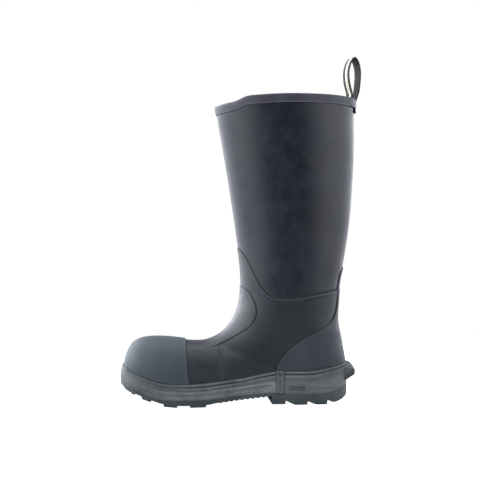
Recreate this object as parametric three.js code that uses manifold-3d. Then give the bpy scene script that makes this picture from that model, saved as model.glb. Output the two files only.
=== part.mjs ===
// A tall pull-on rubber work boot with a steel toe, for the right foot, size about EU 43.
// Millimetres. +Z is up, the toe points along -X and the big-toe side faces -Y. The boot stands on z = 0.
import * as THREE from "three";
import { mergeVertices } from "three/addons/utils/BufferGeometryUtils.js";
import Module from "manifold-3d";

const wasm = await Module();
wasm.setup();

// ---------------------------------------------------------------- driving dimensions

const GAP = 0.3; // between pieces that touch
const AROUND = 24; // facets round the leg and foot
const BODY_TOP = 432; // the loft runs a little above the rim before it is cut

// How far each layer lies under the foot shell's outer face. Negative stands proud of it.
const FOOT_RUBBER = 2.2;
const SHAFT_RECESS = 0.9; // the shaft's rubber is thinner than the foot's, and steps in at the seam
const NEOPRENE = 3.5;
const LINING = 0.7;
const STIFFENER_ROOM = 2.1; // what the neoprene gives way for the steel cap and the heel stiffener
const STEEL_TOE = 1.8;
const HEEL_STIFFENER = 1.5;
const TOE_OVERLAY = 2.0;
const HEEL_OVERLAY = 1.5;
const INSTEP_OVERLAY = 1.1;

const BINDING = { height: 12.6, thick: 1.2, headroom: 1.8, tailRoom: 1.6 };
const BEAD_HEIGHT = 5.0;
const SIDEWALL_THICK = 7.0;
const CLIP = { front: 47, back: 57.6, thick: 1.5 };
const KICK_LUG_WIDTH = 38;
const BOARD_THICK = 1.8;
const FOOTBED_THICK = 4.6;
const SHANK = { front: -32, back: 72, width: 26, thick: 1.6 };
const STRAP = { width: 19, thick: 1.8, twist: THREE.MathUtils.degToRad(15.5) };
const LOOP_PIVOT = new THREE.Vector3(159.2, 0, 428.6);

// Sections of the upper, from above the rim down the shaft, fanned round the instep, to the toe.
// Each holds its front or top point [x, z], its back or bottom point [x, z], how far its middle
// drifts towards +Y, its half width on the big-toe side and on the little-toe side, where along
// the section it is widest (0 front, 1 back), and how square its front and back halves are.
const SECTIONS = [
  [[-38.9, 432], [162.0, 432], 0, 47, 47.5, 0.5, 1.9, 2.0],
  [[-32.2, 392], [161.7, 392], 0, 47, 47.5, 0.5, 1.95, 2.0],
  [[-25.1, 352], [161.5, 352], 0, 46, 46.5, 0.5, 2.0, 2.0],
  [[-18.2, 310], [159.8, 310], 0, 45, 45.5, 0.5, 2.0, 2.0],
  [[-11.6, 268], [156.8, 268], 0, 43.5, 44, 0.5, 2.0, 2.05],
  [[-6.2, 230], [152.1, 229], 0, 42, 42.5, 0.5, 2.0, 2.1],
  [[-1.7, 198], [146.4, 195], 0, 41, 41.5, 0.5, 2.05, 2.2],
  [[0.4, 173], [140.5, 167], 0, 40, 40.5, 0.5, 2.1, 2.3],
  [[0.4, 150], [138.0, 140], 0, 39, 39.5, 0.51, 2.1, 2.35],
  [[-3.4, 130.5], [136.6, 115], 0, 38, 39, 0.52, 2.1, 2.4],
  [[-10.2, 115.3], [140.2, 93], 0, 37, 38.5, 0.54, 2.1, 2.5],
  [[-19.0, 103.1], [144.6, 71], 0, 36.5, 38.5, 0.56, 2.1, 2.5],
  [[-28.6, 95.0], [147.0, 53], 0, 36, 38.5, 0.57, 2.1, 2.5],
  [[-39.0, 89.9], [143.5, 37], 0, 36, 40, 0.56, 2.15, 2.6],
  [[-50.0, 87.0], [130, 27], -0.5, 35.5, 41.5, 0.54, 2.15, 2.9],
  [[-61.5, 86.3], [92, 23.5], -1, 37, 45.5, 0.53, 2.2, 3.2],
  [[-74.0, 86.9], [38, 21.5], -1.5, 41, 51.5, 0.56, 2.25, 3.4],
  [[-87.5, 88.7], [-20, 17], -2, 47, 55.5, 0.62, 2.3, 3.4],
  [[-102.0, 90.3], [-72, 13.5], -3, 52, 57, 0.68, 2.35, 3.3],
  [[-117.5, 91.0], [-107.5, 13.5], -4.5, 48.5, 53.5, 0.7, 2.4, 3.2],
  [[-132.0, 90.0], [-130, 19.5], -5.5, 42.5, 46.5, 0.7, 2.4, 3.0],
  [[-143.5, 86.3], [-143.5, 25], -6, 37, 39, 0.69, 2.35, 2.7],
  [[-152.0, 78.5], [-152.5, 30.5], -6, 30.5, 31.5, 0.66, 2.25, 2.4],
  [[-157.8, 66], [-158.1, 39], -6, 22, 22.5, 0.6, 2.1, 2.1],
  [[-160.4, 51], [-160.4, 51], -6, 0, 0, 0.5, 2.0, 2.0],
].map(([front, back, drift, inner, outer, widest, frontPower, backPower]) => ({
  channels: [...front, ...back, drift, inner, outer, widest, frontPower, backPower],
}));

// Lines seen from the side, each a list of [x, z] that a smooth curve runs through.
const RIM_LINE = [
  [-42, 411], [-34, 412], [-20, 414.6], [-10, 416.5], [-3.5, 419], [3, 422], [10, 423.8], [25, 424.9],
  [60, 426.5], [100, 426.8], [130, 426.3], [150, 425], [165, 423.5],
];
const SEAM_LINE = [
  [-30, 236], [-14, 224], [-2.5, 213], [8, 199], [15, 183], [24, 165.5], [35.5, 151],
  [50, 145.8], [74, 145.6], [94, 149.4], [139, 157.2], [170, 162],
];
const FOXING_LINE = [
  [-175, 60], [-161, 54.6], [-145, 46], [-132, 41.2], [-115, 36], [-98, 33], [-74, 32], [-50, 33],
  [-11, 37.2], [14, 41.2], [38, 45.4], [50, 47.2], [63, 46.7], [95, 46.7], [113, 49.3], [134, 53.2],
  [146, 55.6], [160, 57],
];
const TOE_EDGE = [[-76, 110], [-76, 88], [-75.6, 57], [-72.4, 33], [-70, 10]];
const COUNTER_LINE = [
  [45.5, 34], [47, 46], [53, 61], [68, 78], [88, 92], [107, 101.5], [122, 111], [129.5, 120],
  [133.3, 130], [134.8, 140], [135.9, 154], [138.1, 171], [141, 183], [142.8, 187.5],
];
const INSTEP_LINE = [
  [-3, 164], [8, 157], [15.5, 146], [20, 132.6], [19.4, 120.6], [12, 107.3], [-5.2, 95.2],
  [-25, 84.3], [-40, 79], [-56, 78], [-64, 82],
];
const SOLE_BOTTOM = [
  [-175, 37], [-168, 31.5], [-162.8, 27], [-158.5, 22.8], [-151.5, 19.2], [-143.3, 16.8], [-137, 14.4],
  [-128, 11.4], [-119, 8.2], [-108.5, 5.2], [-97, 3.6], [-85, 2.6], [-73, 2.6], [-62, 2.9], [-46, 3.4],
  [-38, 4.8], [-30, 5.9], [-13, 8], [10, 10.2], [38, 12.4], [60, 13],
];
const OUTSOLE_TOP = [
  [-175, 41], [-168, 36], [-162.8, 31.4], [-157, 26.8], [-150, 23], [-143.5, 20.4], [-137, 18],
  [-128, 15], [-119, 12.4], [-108.5, 10.4], [-90, 9.6], [-50, 9.6], [-33, 11.2], [-13, 13], [10, 14.8],
  [38, 16.2], [60, 15.4], [100, 14.6], [120, 16], [136, 20], [148, 24.6], [160, 28],
];

// The sole seen from above, from the tip of the toe round the big-toe side to the heel and back.
const OUTLINE = [
  [-166.4, -7.5], [-162.2, -27], [-149, -42], [-122, -52.5], [-92, -57.5], [-62, -57], [-28, -50.5],
  [8, -44.2], [45, -40.4], [85, -39.8], [119, -36.5], [142, -22], [150, -1], [142, 20.5], [119, 35.5],
  [85, 41.8], [45, 46.5], [8, 52.4], [-30, 57.3], [-66, 58], [-100, 54.5], [-131, 44], [-154, 28],
  [-163.9, 10],
];

// ---------------------------------------------------------------- solids and curves

// A three.js geometry as a manifold-3d solid.
function solidOf(geometry) {
  const bare = geometry.index ? geometry.toNonIndexed() : geometry.clone();
  bare.deleteAttribute("normal");
  bare.deleteAttribute("uv");
  const merged = mergeVertices(bare, 1e-3);
  const index = merged.index.array;
  const kept = [];
  for (let i = 0; i < index.length; i += 3) {
    const [a, b, c] = [index[i], index[i + 1], index[i + 2]];
    if (a !== b && b !== c && a !== c) kept.push(a, b, c);
  }
  return new wasm.Manifold(
    new wasm.Mesh({
      numProp: 3,
      vertProperties: merged.attributes.position.array,
      triVerts: new Uint32Array(kept),
    }),
  );
}

// A manifold-3d solid as a three.js geometry.
function geometryOf(solid) {
  const { numProp, numVert, vertProperties, triVerts } = solid.getMesh();
  const position = new Float32Array(numVert * 3);
  for (let i = 0; i < numVert; i++) {
    position.set(vertProperties.subarray(i * numProp, i * numProp + 3), i * 3);
  }
  return new THREE.BufferGeometry()
    .setAttribute("position", new THREE.BufferAttribute(position, 3))
    .setIndex(new THREE.BufferAttribute(new Uint32Array(triVerts), 1));
}

// A closed solid from rings of points. Open ends are capped; a loop of rings needs no cap.
function loft(rings, loop = false) {
  const around = rings[0].length;
  const triangles = [];
  const pairs = loop ? rings.length : rings.length - 1;
  for (let i = 0; i < pairs; i++) {
    const here = rings[i];
    const next = rings[(i + 1) % rings.length];
    for (let j = 0; j < around; j++) {
      const k = (j + 1) % around;
      triangles.push(here[j], next[j], next[k], here[j], next[k], here[k]);
    }
  }
  if (!loop) {
    for (const [ring, turned] of [[rings[0], false], [rings.at(-1), true]]) {
      const middle = ring.reduce((sum, p) => sum.add(p), new THREE.Vector3()).divideScalar(around);
      for (let j = 0; j < around; j++) {
        const [a, b] = turned ? [ring[(j + 1) % around], ring[j]] : [ring[j], ring[(j + 1) % around]];
        triangles.push(middle, a, b);
      }
    }
  }
  const flip = signedVolume(triangles) < 0;
  const ordered = flip ? triangles.reverse() : triangles;
  return solidOf(new THREE.BufferGeometry().setFromPoints(ordered));
}

function signedVolume(triangles) {
  let sum = 0;
  const cross = new THREE.Vector3();
  for (let i = 0; i < triangles.length; i += 3) {
    sum += triangles[i].dot(cross.crossVectors(triangles[i + 1], triangles[i + 2]));
  }
  return sum / 6;
}

function sampledLine(points, perSpan = 2) {
  const curve = new THREE.SplineCurve(points.map(([x, z]) => new THREE.Vector2(x, z)));
  return curve.getPoints((points.length - 1) * perSpan);
}

// The height of a side-view line at x.
function heightOn(line) {
  const points = sampledLine(line, 8);
  return (x) => {
    const i = Math.max(1, points.findIndex((p) => p.x >= x));
    const [a, b] = [points[i - 1], points[i]];
    return a.y + ((b.y - a.y) * (x - a.x)) / (b.x - a.x);
  };
}

// A side-view outline, [x, z] points or Vector2, pushed through from y = from to y = to.
function sidePrism(points, from = -100, to = 100) {
  const shape = new THREE.Shape(points.map((p) => new THREE.Vector2(p.x ?? p[0], p.y ?? p[1])));
  const geometry = new THREE.ExtrudeGeometry(shape, { depth: to - from, bevelEnabled: false });
  return solidOf(geometry.rotateX(Math.PI / 2).translate(0, to, 0));
}

// A plan outline, [x, y] points or Vector2, pushed up from z = from to z = to.
function planPrism(points, from, to) {
  const shape = new THREE.Shape(points.map((p) => new THREE.Vector2(p.x ?? p[0], p.y ?? p[1])));
  const geometry = new THREE.ExtrudeGeometry(shape, { depth: to - from, bevelEnabled: false });
  return solidOf(geometry.translate(0, 0, from));
}

function box(x, y, z) {
  return planPrism([[x[0], y[0]], [x[1], y[0]], [x[1], y[1]], [x[0], y[1]]], z[0], z[1]);
}

const smoothstep = (x, from, to) => {
  const t = THREE.MathUtils.clamp((x - from) / (to - from), 0, 1);
  return t * t * (3 - 2 * t);
};

// ---------------------------------------------------------------- the upper's surface

// All channels of the section at u, where whole numbers of u are the sections listed above.
function sectionAt(u) {
  const last = SECTIONS.length - 1;
  const i = Math.min(Math.floor(u), last - 1);
  const t = u - i;
  const pick = (k) => SECTIONS[THREE.MathUtils.clamp(k, 0, last)].channels;
  const [p, a, b, n] = [pick(i - 1), pick(i), pick(i + 1), pick(i + 2)];
  return a.map((_, c) => {
    const slopeA = (b[c] - p[c]) / 2;
    const slopeB = (n[c] - a[c]) / 2;
    return (
      (2 * t ** 3 - 3 * t ** 2 + 1) * a[c] +
      (t ** 3 - 2 * t ** 2 + t) * slopeA +
      (3 * t ** 2 - 2 * t ** 3) * b[c] +
      (t ** 3 - t ** 2) * slopeB
    );
  });
}

// A point of the foot shell's outer face. turn is 0 at the front or top and pi at the back or sole.
function skinPoint(u, turn) {
  const [fx, fz, bx, bz, drift, inner, outer, widest, frontPower, backPower] = sectionAt(u);
  const c = Math.cos(turn);
  const s = Math.sin(turn);
  const power = 2 / (c > 0 ? frontPower : backPower);
  const reach = Math.pow(Math.abs(c), power);
  const along = c > 0 ? widest * (1 - reach) : widest + (1 - widest) * reach;
  const across = Math.pow(Math.abs(s), power) * (s > 0 ? -inner : outer);
  return new THREE.Vector3(fx + (bx - fx) * along, drift + across, fz + (bz - fz) * along);
}

function skinNormal(u, turn) {
  const last = SECTIONS.length - 1;
  if (u > last - 0.01) return new THREE.Vector3(-1, 0, 0);
  const [du, dt] = [0.04, 0.09];
  const low = Math.max(u - du, 0);
  const high = Math.min(u + du, last - 0.005);
  const along = skinPoint(high, turn).sub(skinPoint(low, turn));
  const round = skinPoint(u, turn + dt).sub(skinPoint(u, turn - dt));
  return along.cross(round).normalize();
}

// One ring of the body at a depth under its outer face; depth may be a function of the place.
function bodyRing(u, depth, rise = 0) {
  return Array.from({ length: AROUND }, (_, j) => {
    const turn = (2 * Math.PI * j) / AROUND;
    const p = skinPoint(u, turn);
    const d = typeof depth === "function" ? depth(p) : depth;
    return p.addScaledVector(skinNormal(u, turn), -d).add(new THREE.Vector3(0, 0, rise));
  });
}

// The whole boot as one solid, its faces depth under the foot shell's outer face.
function body(depth, rise = 0) {
  const rings = SECTIONS.map((_, u) => bodyRing(u, depth));
  if (rise) rings.unshift(bodyRing(0, depth, rise));
  return loft(rings);
}

// A layer of the upper between two depths, open at the top.
function layer(outerDepth, innerDepth) {
  return body(outerDepth).subtract(body(innerDepth, 4));
}

// Where the neoprene lies deeper, to leave room for the steel cap and the heel stiffener.
function stiffenerRoom(p) {
  const toe = 1 - smoothstep(p.x, -78, -58);
  const heel = smoothstep(p.x, 44, 64) * (1 - smoothstep(p.z, 104, 128));
  return STIFFENER_ROOM * Math.max(toe, heel);
}
const neopreneOuter = (p) => FOOT_RUBBER + GAP + stiffenerRoom(p);
const neopreneInner = (p) => neopreneOuter(p) + NEOPRENE;
const liningOuter = (p) => neopreneInner(p) + GAP;
const liningInner = (p) => liningOuter(p) + LINING;
const cavityDepth = (p) => liningInner(p) + GAP;

// ---------------------------------------------------------------- the sole's outline

const outline = new THREE.CatmullRomCurve3(
  OUTLINE.map(([x, y]) => new THREE.Vector3(x, y, 0)),
  true,
  "catmullrom",
  0.5,
);

// Places along the outline, each with the direction that points out of the sole there.
const outlineStations = Array.from({ length: 2 * OUTLINE.length }, (_, i, count = 2 * OUTLINE.length) => {
  const ahead = outline.getPoint((i / count + 0.004) % 1);
  const behind = outline.getPoint((i / count + 0.996) % 1);
  const along = ahead.sub(behind).normalize();
  return { point: outline.getPoint(i / count), outward: new THREE.Vector3(along.y, -along.x, 0) };
});

// The outline moved out by offset, as Vector3 at z = 0.
function outlinePoints(offset) {
  return outlineStations.map(({ point, outward }) => point.clone().addScaledVector(outward, offset));
}

const foxingHeight = heightOn(FOXING_LINE);
const outsoleTopHeight = heightOn(OUTSOLE_TOP);
const soleBottomHeight = heightOn(SOLE_BOTTOM);
const beadHeight = (x) => BEAD_HEIGHT * (0.55 + 0.45 * smoothstep(x, -160, -120));

// How far the toe bumper leans in towards its top and its bottom.
function bumperLean(x, z) {
  const toe = 1 - smoothstep(x, -150, -112);
  const high = THREE.MathUtils.clamp((z - 39) / 15, 0, 1);
  const low = THREE.MathUtils.clamp((34 - z) / 14, 0, 1);
  return toe * (2.4 * high * high + 3 * low * low);
}

// A ring round the sole. Each corner of its section is an offset from the outline and a height,
// where the height is a function of x. The outer corners follow the toe bumper.
function soleRing(corners) {
  const rows = corners.map(([offset, height]) =>
    outlineStations.map(({ point, outward }) => {
      const lean = offset > -SIDEWALL_THICK ? bumperLean(point.x, height(point.x)) : 0;
      const place = point.clone().addScaledVector(outward, offset - lean);
      return place.setZ(height(place.x));
    }),
  );
  return loft(rows, true);
}

// ---------------------------------------------------------------- side-view regions

const REACH = 250; // past the boot on any side
const rimCurve = sampledLine(RIM_LINE);
const seamCurve = sampledLine(SEAM_LINE);

const belowLine = (points, drop = 0) =>
  sidePrism([
    [-REACH, points[0].y - drop],
    ...points.map((p) => [p.x, p.y - drop]),
    [REACH, points.at(-1).y - drop],
    [REACH, -20],
    [-REACH, -20],
  ]);
const aboveLine = (points, rise = 0) =>
  sidePrism([
    [REACH, points.at(-1).y + rise],
    ...points.map((p) => [p.x, p.y + rise]).reverse(),
    [-REACH, points[0].y + rise],
    [-REACH, 520],
    [REACH, 520],
  ]);

const aboveFoxing = aboveLine(sampledLine(FOXING_LINE), 2 * GAP);
const aboveOutsole = aboveLine(sampledLine(OUTSOLE_TOP), GAP);
const belowBinding = belowLine(rimCurve, BINDING.thick + BINDING.headroom);
const bodyWithGap = body(-GAP);

// ---------------------------------------------------------------- the upper

function shaftShell() {
  return layer(SHAFT_RECESS, FOOT_RUBBER)
    .intersect(aboveLine(seamCurve, GAP))
    .intersect(belowBinding);
}

function footShell() {
  return layer(0, FOOT_RUBBER).intersect(belowLine(seamCurve));
}

function neopreneBootie() {
  return layer(neopreneOuter, neopreneInner).intersect(belowBinding);
}

function fabricLining() {
  return layer(liningOuter, liningInner).intersect(belowBinding);
}

function toeOverlay() {
  const edge = sampledLine(TOE_EDGE);
  const front = sidePrism([...edge, [-REACH, 10], [-REACH, 110]]);
  return layer(-TOE_OVERLAY, -GAP).intersect(front).intersect(aboveFoxing);
}

function heelCounter() {
  const edge = sampledLine(COUNTER_LINE);
  const behind = sidePrism([...edge, [REACH, 188], [REACH, 30]]);
  return layer(-HEEL_OVERLAY, -GAP).intersect(behind).intersect(aboveFoxing);
}

function instepPanel() {
  const edge = sampledLine(INSTEP_LINE);
  const ahead = sidePrism([...edge, [-64, 110], [-30, 164]]);
  return layer(-INSTEP_OVERLAY, -GAP).intersect(ahead);
}

// ---------------------------------------------------------------- stiffening inside the upper

const TOE_ROOM_EDGE = -97;

function steelToeCap() {
  const front = box([-200, TOE_ROOM_EDGE], [-90, 90], [0, 120]);
  const flange = 11; // how far the cap turns in under the foot
  const hollow = planPrism(outlinePoints(-(flange + 8)), 0, 34);
  return layer(FOOT_RUBBER + GAP, FOOT_RUBBER + GAP + STEEL_TOE).intersect(front).subtract(hollow);
}

function capEdgePad() {
  const band = box([TOE_ROOM_EDGE + GAP, TOE_ROOM_EDGE + 11], [-90, 90], [34, 120]);
  return layer(FOOT_RUBBER + GAP, FOOT_RUBBER + GAP + 1.3).intersect(band);
}

function heelStiffener() {
  const behind = sidePrism([[78, 10], [82, 60], [104, 88], [120, 100], [180, 102], [180, 10]]);
  const hollow = planPrism(outlinePoints(-19), 0, 40);
  return layer(FOOT_RUBBER + GAP, FOOT_RUBBER + GAP + HEEL_STIFFENER).intersect(behind).subtract(hollow);
}

// ---------------------------------------------------------------- under the foot

// The inner floor of the lined boot, seen from the side.
const FLOOR_LINE = [
  [-165, 34], [-150, 29.5], [-131, 26.5], [-108, 23.2], [-72, 22.2], [-20, 25.2], [38, 29.8], [92, 33],
  [125, 35], [150, 38],
];

function floorSlab(rise, thick) {
  const points = sampledLine(FLOOR_LINE);
  const low = points.map((p) => [p.x, p.y + rise]);
  const high = points.map((p) => [p.x, p.y + rise + thick]).reverse();
  return sidePrism([...low, ...high]);
}

function insoleBoard() {
  return body((p) => cavityDepth(p) + 0.7).intersect(floorSlab(GAP, BOARD_THICK));
}

function footbed() {
  return body(cavityDepth).intersect(floorSlab(BOARD_THICK + 2 * GAP, FOOTBED_THICK));
}

function shankPocket(margin) {
  const half = SHANK.width / 2 + margin;
  const centre = 1;
  return box([SHANK.front - margin, SHANK.back + margin], [centre - half, centre + half], [0, 60]);
}

// The steel shank is a pressed strip that follows the underside of the foot.
function shankStrip(margin) {
  const under = body(-(GAP + SHANK.thick + margin)).subtract(body(-GAP + margin));
  const low = box([-REACH, REACH], [-90, 90], [0, 34]);
  return under.intersect(low).intersect(shankPocket(margin));
}

function steelShank() {
  return shankStrip(0);
}

function midsole() {
  const inset = -(SIDEWALL_THICK + GAP);
  const column = planPrism(outlinePoints(inset), 0, 60);
  const roof = belowLine(sampledLine(FOXING_LINE), BEAD_HEIGHT + 4);
  const pocket = shankPocket(GAP).intersect(body(-(GAP + SHANK.thick + GAP)));
  return column.intersect(aboveOutsole).intersect(roof).subtract(bodyWithGap).subtract(pocket);
}

// ---------------------------------------------------------------- sidewall, bead, clips and heel lug

const sidewallTop = (x) => foxingHeight(x) - beadHeight(x) - 2 * GAP;
const between = (share) => (x) => {
  const low = outsoleTopHeight(x) + GAP;
  return low + (sidewallTop(x) - low) * share;
};

function sidewall() {
  const ring = soleRing([
    [-0.2, between(-0.05)],
    [0, between(0.45)],
    [-0.5, between(0.85)],
    [-1.4, between(1)],
    [-SIDEWALL_THICK, between(1)],
    [-SIDEWALL_THICK, between(-0.05)],
  ]);
  return ring.subtract(bodyWithGap).intersect(aboveOutsole);
}

const SIDEWALL_JOINT = 52.3;

function frontSidewall() {
  return sidewall().intersect(box([-REACH, SIDEWALL_JOINT - GAP / 2], [-90, 90], [0, 80]));
}

function heelSidewall() {
  return sidewall().intersect(box([SIDEWALL_JOINT + GAP / 2, REACH], [-90, 90], [0, 80]));
}

function foxingBead() {
  const at = (share) => (x) => foxingHeight(x) - beadHeight(x) * (1 - share);
  const ring = soleRing([
    [-1.4, at(0)],
    [-0.4, at(0.3)],
    [-0.6, at(0.75)],
    [-1.8, at(1)],
    [-SIDEWALL_THICK - 3, at(1)],
    [-SIDEWALL_THICK - 3, at(0)],
  ]);
  return ring.subtract(bodyWithGap);
}

// One strap that bridges the joint of the two sidewalls; side is -1 for the big-toe side.
function sideClip(side) {
  const low = (x) => outsoleTopHeight(x) + GAP;
  const high = (x) => foxingHeight(x) - GAP;
  const share = (t) => (x) => low(x) + (high(x) - low(x)) * t;
  const ring = soleRing([
    [GAP, share(0)],
    [CLIP.thick, share(0.08)],
    [CLIP.thick, share(0.92)],
    [GAP, share(1)],
  ]);
  const half = side < 0 ? [-90, 0] : [0, 90];
  return ring.intersect(box([CLIP.front, CLIP.back], half, [0, 80]));
}

// The lug behind the heel that the other boot treads on: seen from behind, its top is domed.
function kickLug() {
  const profile = [
    [130, 57], [148, 56.8], [154, 55.4], [157.4, 52.2],
    [159.1, 47.8], [159.4, 39], [146.5, 30.8], [130, 30.8],
  ];
  const half = KICK_LUG_WIDTH / 2;
  const dome = [
    [-half, 20], [half, 20], [half, 47.5], [13, 53.6], [5, 57], [-5, 57], [-13, 53.6], [-half, 47.5],
  ];
  const block = sidePrism(profile, -half, half).intersect(sidePrism(dome, -170, -120).rotate([0, 0, 90]));
  return block.subtract(planPrism(outlinePoints(GAP), 0, 80));
}

// ---------------------------------------------------------------- outsole

// Tread rows of the forefoot: front x, back x, and the height of each row's foot.
const FOREFOOT_ROWS = [
  [-150.5, -145.5, 17.2, 16], [-136.4, -123.5, 11, 7.2], [-106.8, -88.5, 1.6, 0], [-71.5, -49.5, 0, 0],
];
const HEEL_FRONT = 41;

function outsoleProfile() {
  const shape = new THREE.Shape();
  const top = sampledLine(OUTSOLE_TOP);
  shape.moveTo(HEEL_FRONT, soleBottomHeight(HEEL_FRONT));
  shape.lineTo(HEEL_FRONT + 0.6, 1.1);
  shape.lineTo(59.4, 1.1);
  shape.lineTo(60, 5.7);
  shape.quadraticCurveTo(66, 2.6, 73.5, 0);
  shape.lineTo(89.8, 0);
  shape.lineTo(90.4, 4.9);
  shape.quadraticCurveTo(96.5, 2.2, 103.5, 0);
  shape.lineTo(117.4, 0);
  shape.lineTo(118, 5.9);
  shape.quadraticCurveTo(123.5, 2.2, 129, 2.3);
  shape.quadraticCurveTo(142, 3.6, 152, 15);
  for (const p of top.reverse()) shape.lineTo(p.x, p.y);
  for (const p of sampledLine(SOLE_BOTTOM)) {
    if (p.x < HEEL_FRONT - 1) shape.lineTo(p.x, p.y);
  }
  return shape.getPoints(3);
}

function treadRow([front, back, frontFoot, backFoot]) {
  const root = (x) => [x, soleBottomHeight(x) + 1];
  return sidePrism([root(front - 0.8), [front, frontFoot], [back, backFoot], root(back + 0.8)]);
}

// The grooves that run along the tread, between its rows of blocks.
function treadGrooves() {
  const zigzag = (y, half) => {
    const turns = [-165, -146, -128, -114, -98, -82, -63, -50, -30];
    const path = turns.map((x, i) => [x, y + (i % 2 ? 3.5 : -3.5)]);
    return [...path.map(([x, v]) => [x, v - half]), ...path.map(([x, v]) => [x, v + half]).reverse()];
  };
  const below = sidePrism([...sampledLine(SOLE_BOTTOM).map((p) => [p.x, p.y]), [60, -5], [-175, -5]]);
  const forefoot = planPrism(zigzag(-17, 2.4), -4, 40).add(planPrism(zigzag(17, 2.4), -4, 40));
  const heel = planPrism([[30, -4], [104, -4], [122, 0], [104, 4], [30, 4]], -4, 5.4);
  return forefoot.intersect(below).add(heel);
}

function outsole() {
  const slab = sidePrism(outsoleProfile());
  const rows = FOREFOOT_ROWS.map(treadRow).reduce((sum, row) => sum.add(row), slab);
  const plan = planPrism(outlinePoints(-0.4), -5, 60);
  return rows.intersect(plan).subtract(treadGrooves());
}

// ---------------------------------------------------------------- rim binding and pull loop

// The binding bulges at the back of the rim, where the strap's two tails run under it.
const tailBulge = (turn) => BINDING.tailRoom * (1 - smoothstep(Math.abs(turn - Math.PI), 0.32, 0.6));

// A point of the flat facets round the top of the shaft, at a height and a depth under the skin.
function wallPoint(turn, z, depth) {
  const [upper, lower] = [bodyRing(0, depth), bodyRing(1, depth)];
  const column = (j) => {
    const [a, b] = [upper[j % AROUND], lower[j % AROUND]];
    return a.clone().lerp(b, (a.z - z) / (a.z - b.z));
  };
  const j = (turn * AROUND) / (2 * Math.PI);
  return column(Math.floor(j)).lerp(column(Math.ceil(j)), j % 1);
}

const SHAFT_INNER = liningInner(new THREE.Vector3(0, 0, BODY_TOP));

function topBinding() {
  const rimHeight = heightOn(RIM_LINE);
  const [outside, inside] = [SHAFT_RECESS - GAP, SHAFT_INNER + GAP];
  const roof = BINDING.thick;
  const corners = [
    [outside, BINDING.height, -1],
    [outside - BINDING.thick, BINDING.height - 0.5, -1],
    [outside - BINDING.thick, 1.2, -1],
    [outside - 0.2, 0, -0.5],
    [inside + 0.2, 0, 0.5],
    [inside + BINDING.thick, 1.2, 1],
    [inside + BINDING.thick, BINDING.height - 0.5, 1],
    [inside, BINDING.height, 1],
    [inside, roof, 1],
    [outside, roof, -1],
  ];
  const rings = Array.from({ length: AROUND }, (_, j) => {
    const turn = (2 * Math.PI * j) / AROUND;
    return corners.map(([depth, drop, way]) => {
      const rim = rimHeight(wallPoint(turn, 420, depth).x);
      return wallPoint(turn, rim - drop, depth + way * tailBulge(turn));
    });
  });
  return loft(rings, true);
}

// The loop's centre line seen from the side, from its foot up the inner leg and down the outer.
const LOOP_LINE = [
  [159.2, 429.2], [156.6, 431.6], [153.6, 437], [151, 444], [149.6, 452], [149.4, 460.5], [150.8, 469],
  [153.9, 477], [158.7, 482.6], [163.4, 477.6], [166.4, 469], [167.2, 460], [166.6, 450.5], [165.4, 441.5],
  [162.6, 433.2],
];

function pullLoop() {
  const points = LOOP_LINE.map(([x, z]) => new THREE.Vector3(x, 0, z));
  const curve = new THREE.CatmullRomCurve3(points, true, "catmullrom", 0.5);
  const up = new THREE.Vector3(0, 0, 1);
  const count = 2 * LOOP_LINE.length;
  const rings = Array.from({ length: count }, (_, i) => {
    const middle = curve.getPoint(i / count);
    const along = curve.getTangent(i / count);
    const outward = new THREE.Vector3(-along.z, 0, along.x);
    return [[1, 1], [1, -1], [-1, -1], [-1, 1]].map(([out, side]) => {
      const p = middle.clone().addScaledVector(outward, (out * STRAP.thick) / 2);
      p.setY((side * STRAP.width) / 2).sub(LOOP_PIVOT);
      return p.applyAxisAngle(up, STRAP.twist * smoothstep(p.z, 2, 18)).add(LOOP_PIVOT);
    });
  });
  return loft(rings, true);
}

// One tail of the strap, flat against the back of the shaft under the binding.
function strapTail(outerDepth, innerDepth, low) {
  const halfTurn = STRAP.width / 2 / 47;
  const rings = [-1, 0, 1].map((share) => {
    const turn = Math.PI + share * halfTurn;
    const corners = [[low, outerDepth], [TAIL_TOP, outerDepth], [TAIL_TOP, innerDepth], [low, innerDepth]];
    return corners.map(([z, depth]) => wallPoint(turn, z, depth));
  });
  return loft(rings);
}

const TAIL_TOP = 421.2;
const TAIL_THICK = BINDING.tailRoom - GAP;

function outerTail() {
  const face = SHAFT_RECESS - GAP;
  return strapTail(face - TAIL_THICK, face, 404);
}

function innerTail() {
  const face = SHAFT_INNER + GAP;
  return strapTail(face, face + TAIL_THICK, 408);
}

// ---------------------------------------------------------------- materials and assembly

const finish = (color, roughness, metalness = 0) =>
  new THREE.MeshStandardMaterial({ color, roughness, metalness });
const FINISHES = {
  shaftRubber: finish(0x2b2d34, 0.42),
  footRubber: finish(0x2c2f33, 0.48),
  overlayRubber: finish(0x3a3f44, 0.62),
  soleRubber: finish(0x3a3d3e, 0.7),
  neoprene: finish(0x202226, 0.9),
  lining: finish(0x3c3e42, 0.95),
  webbing: finish(0x2e2e2e, 0.85),
  foam: finish(0x55585a, 0.9),
  board: finish(0xb8a888, 0.9),
  steel: finish(0x8d9094, 0.35, 1),
};

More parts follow.
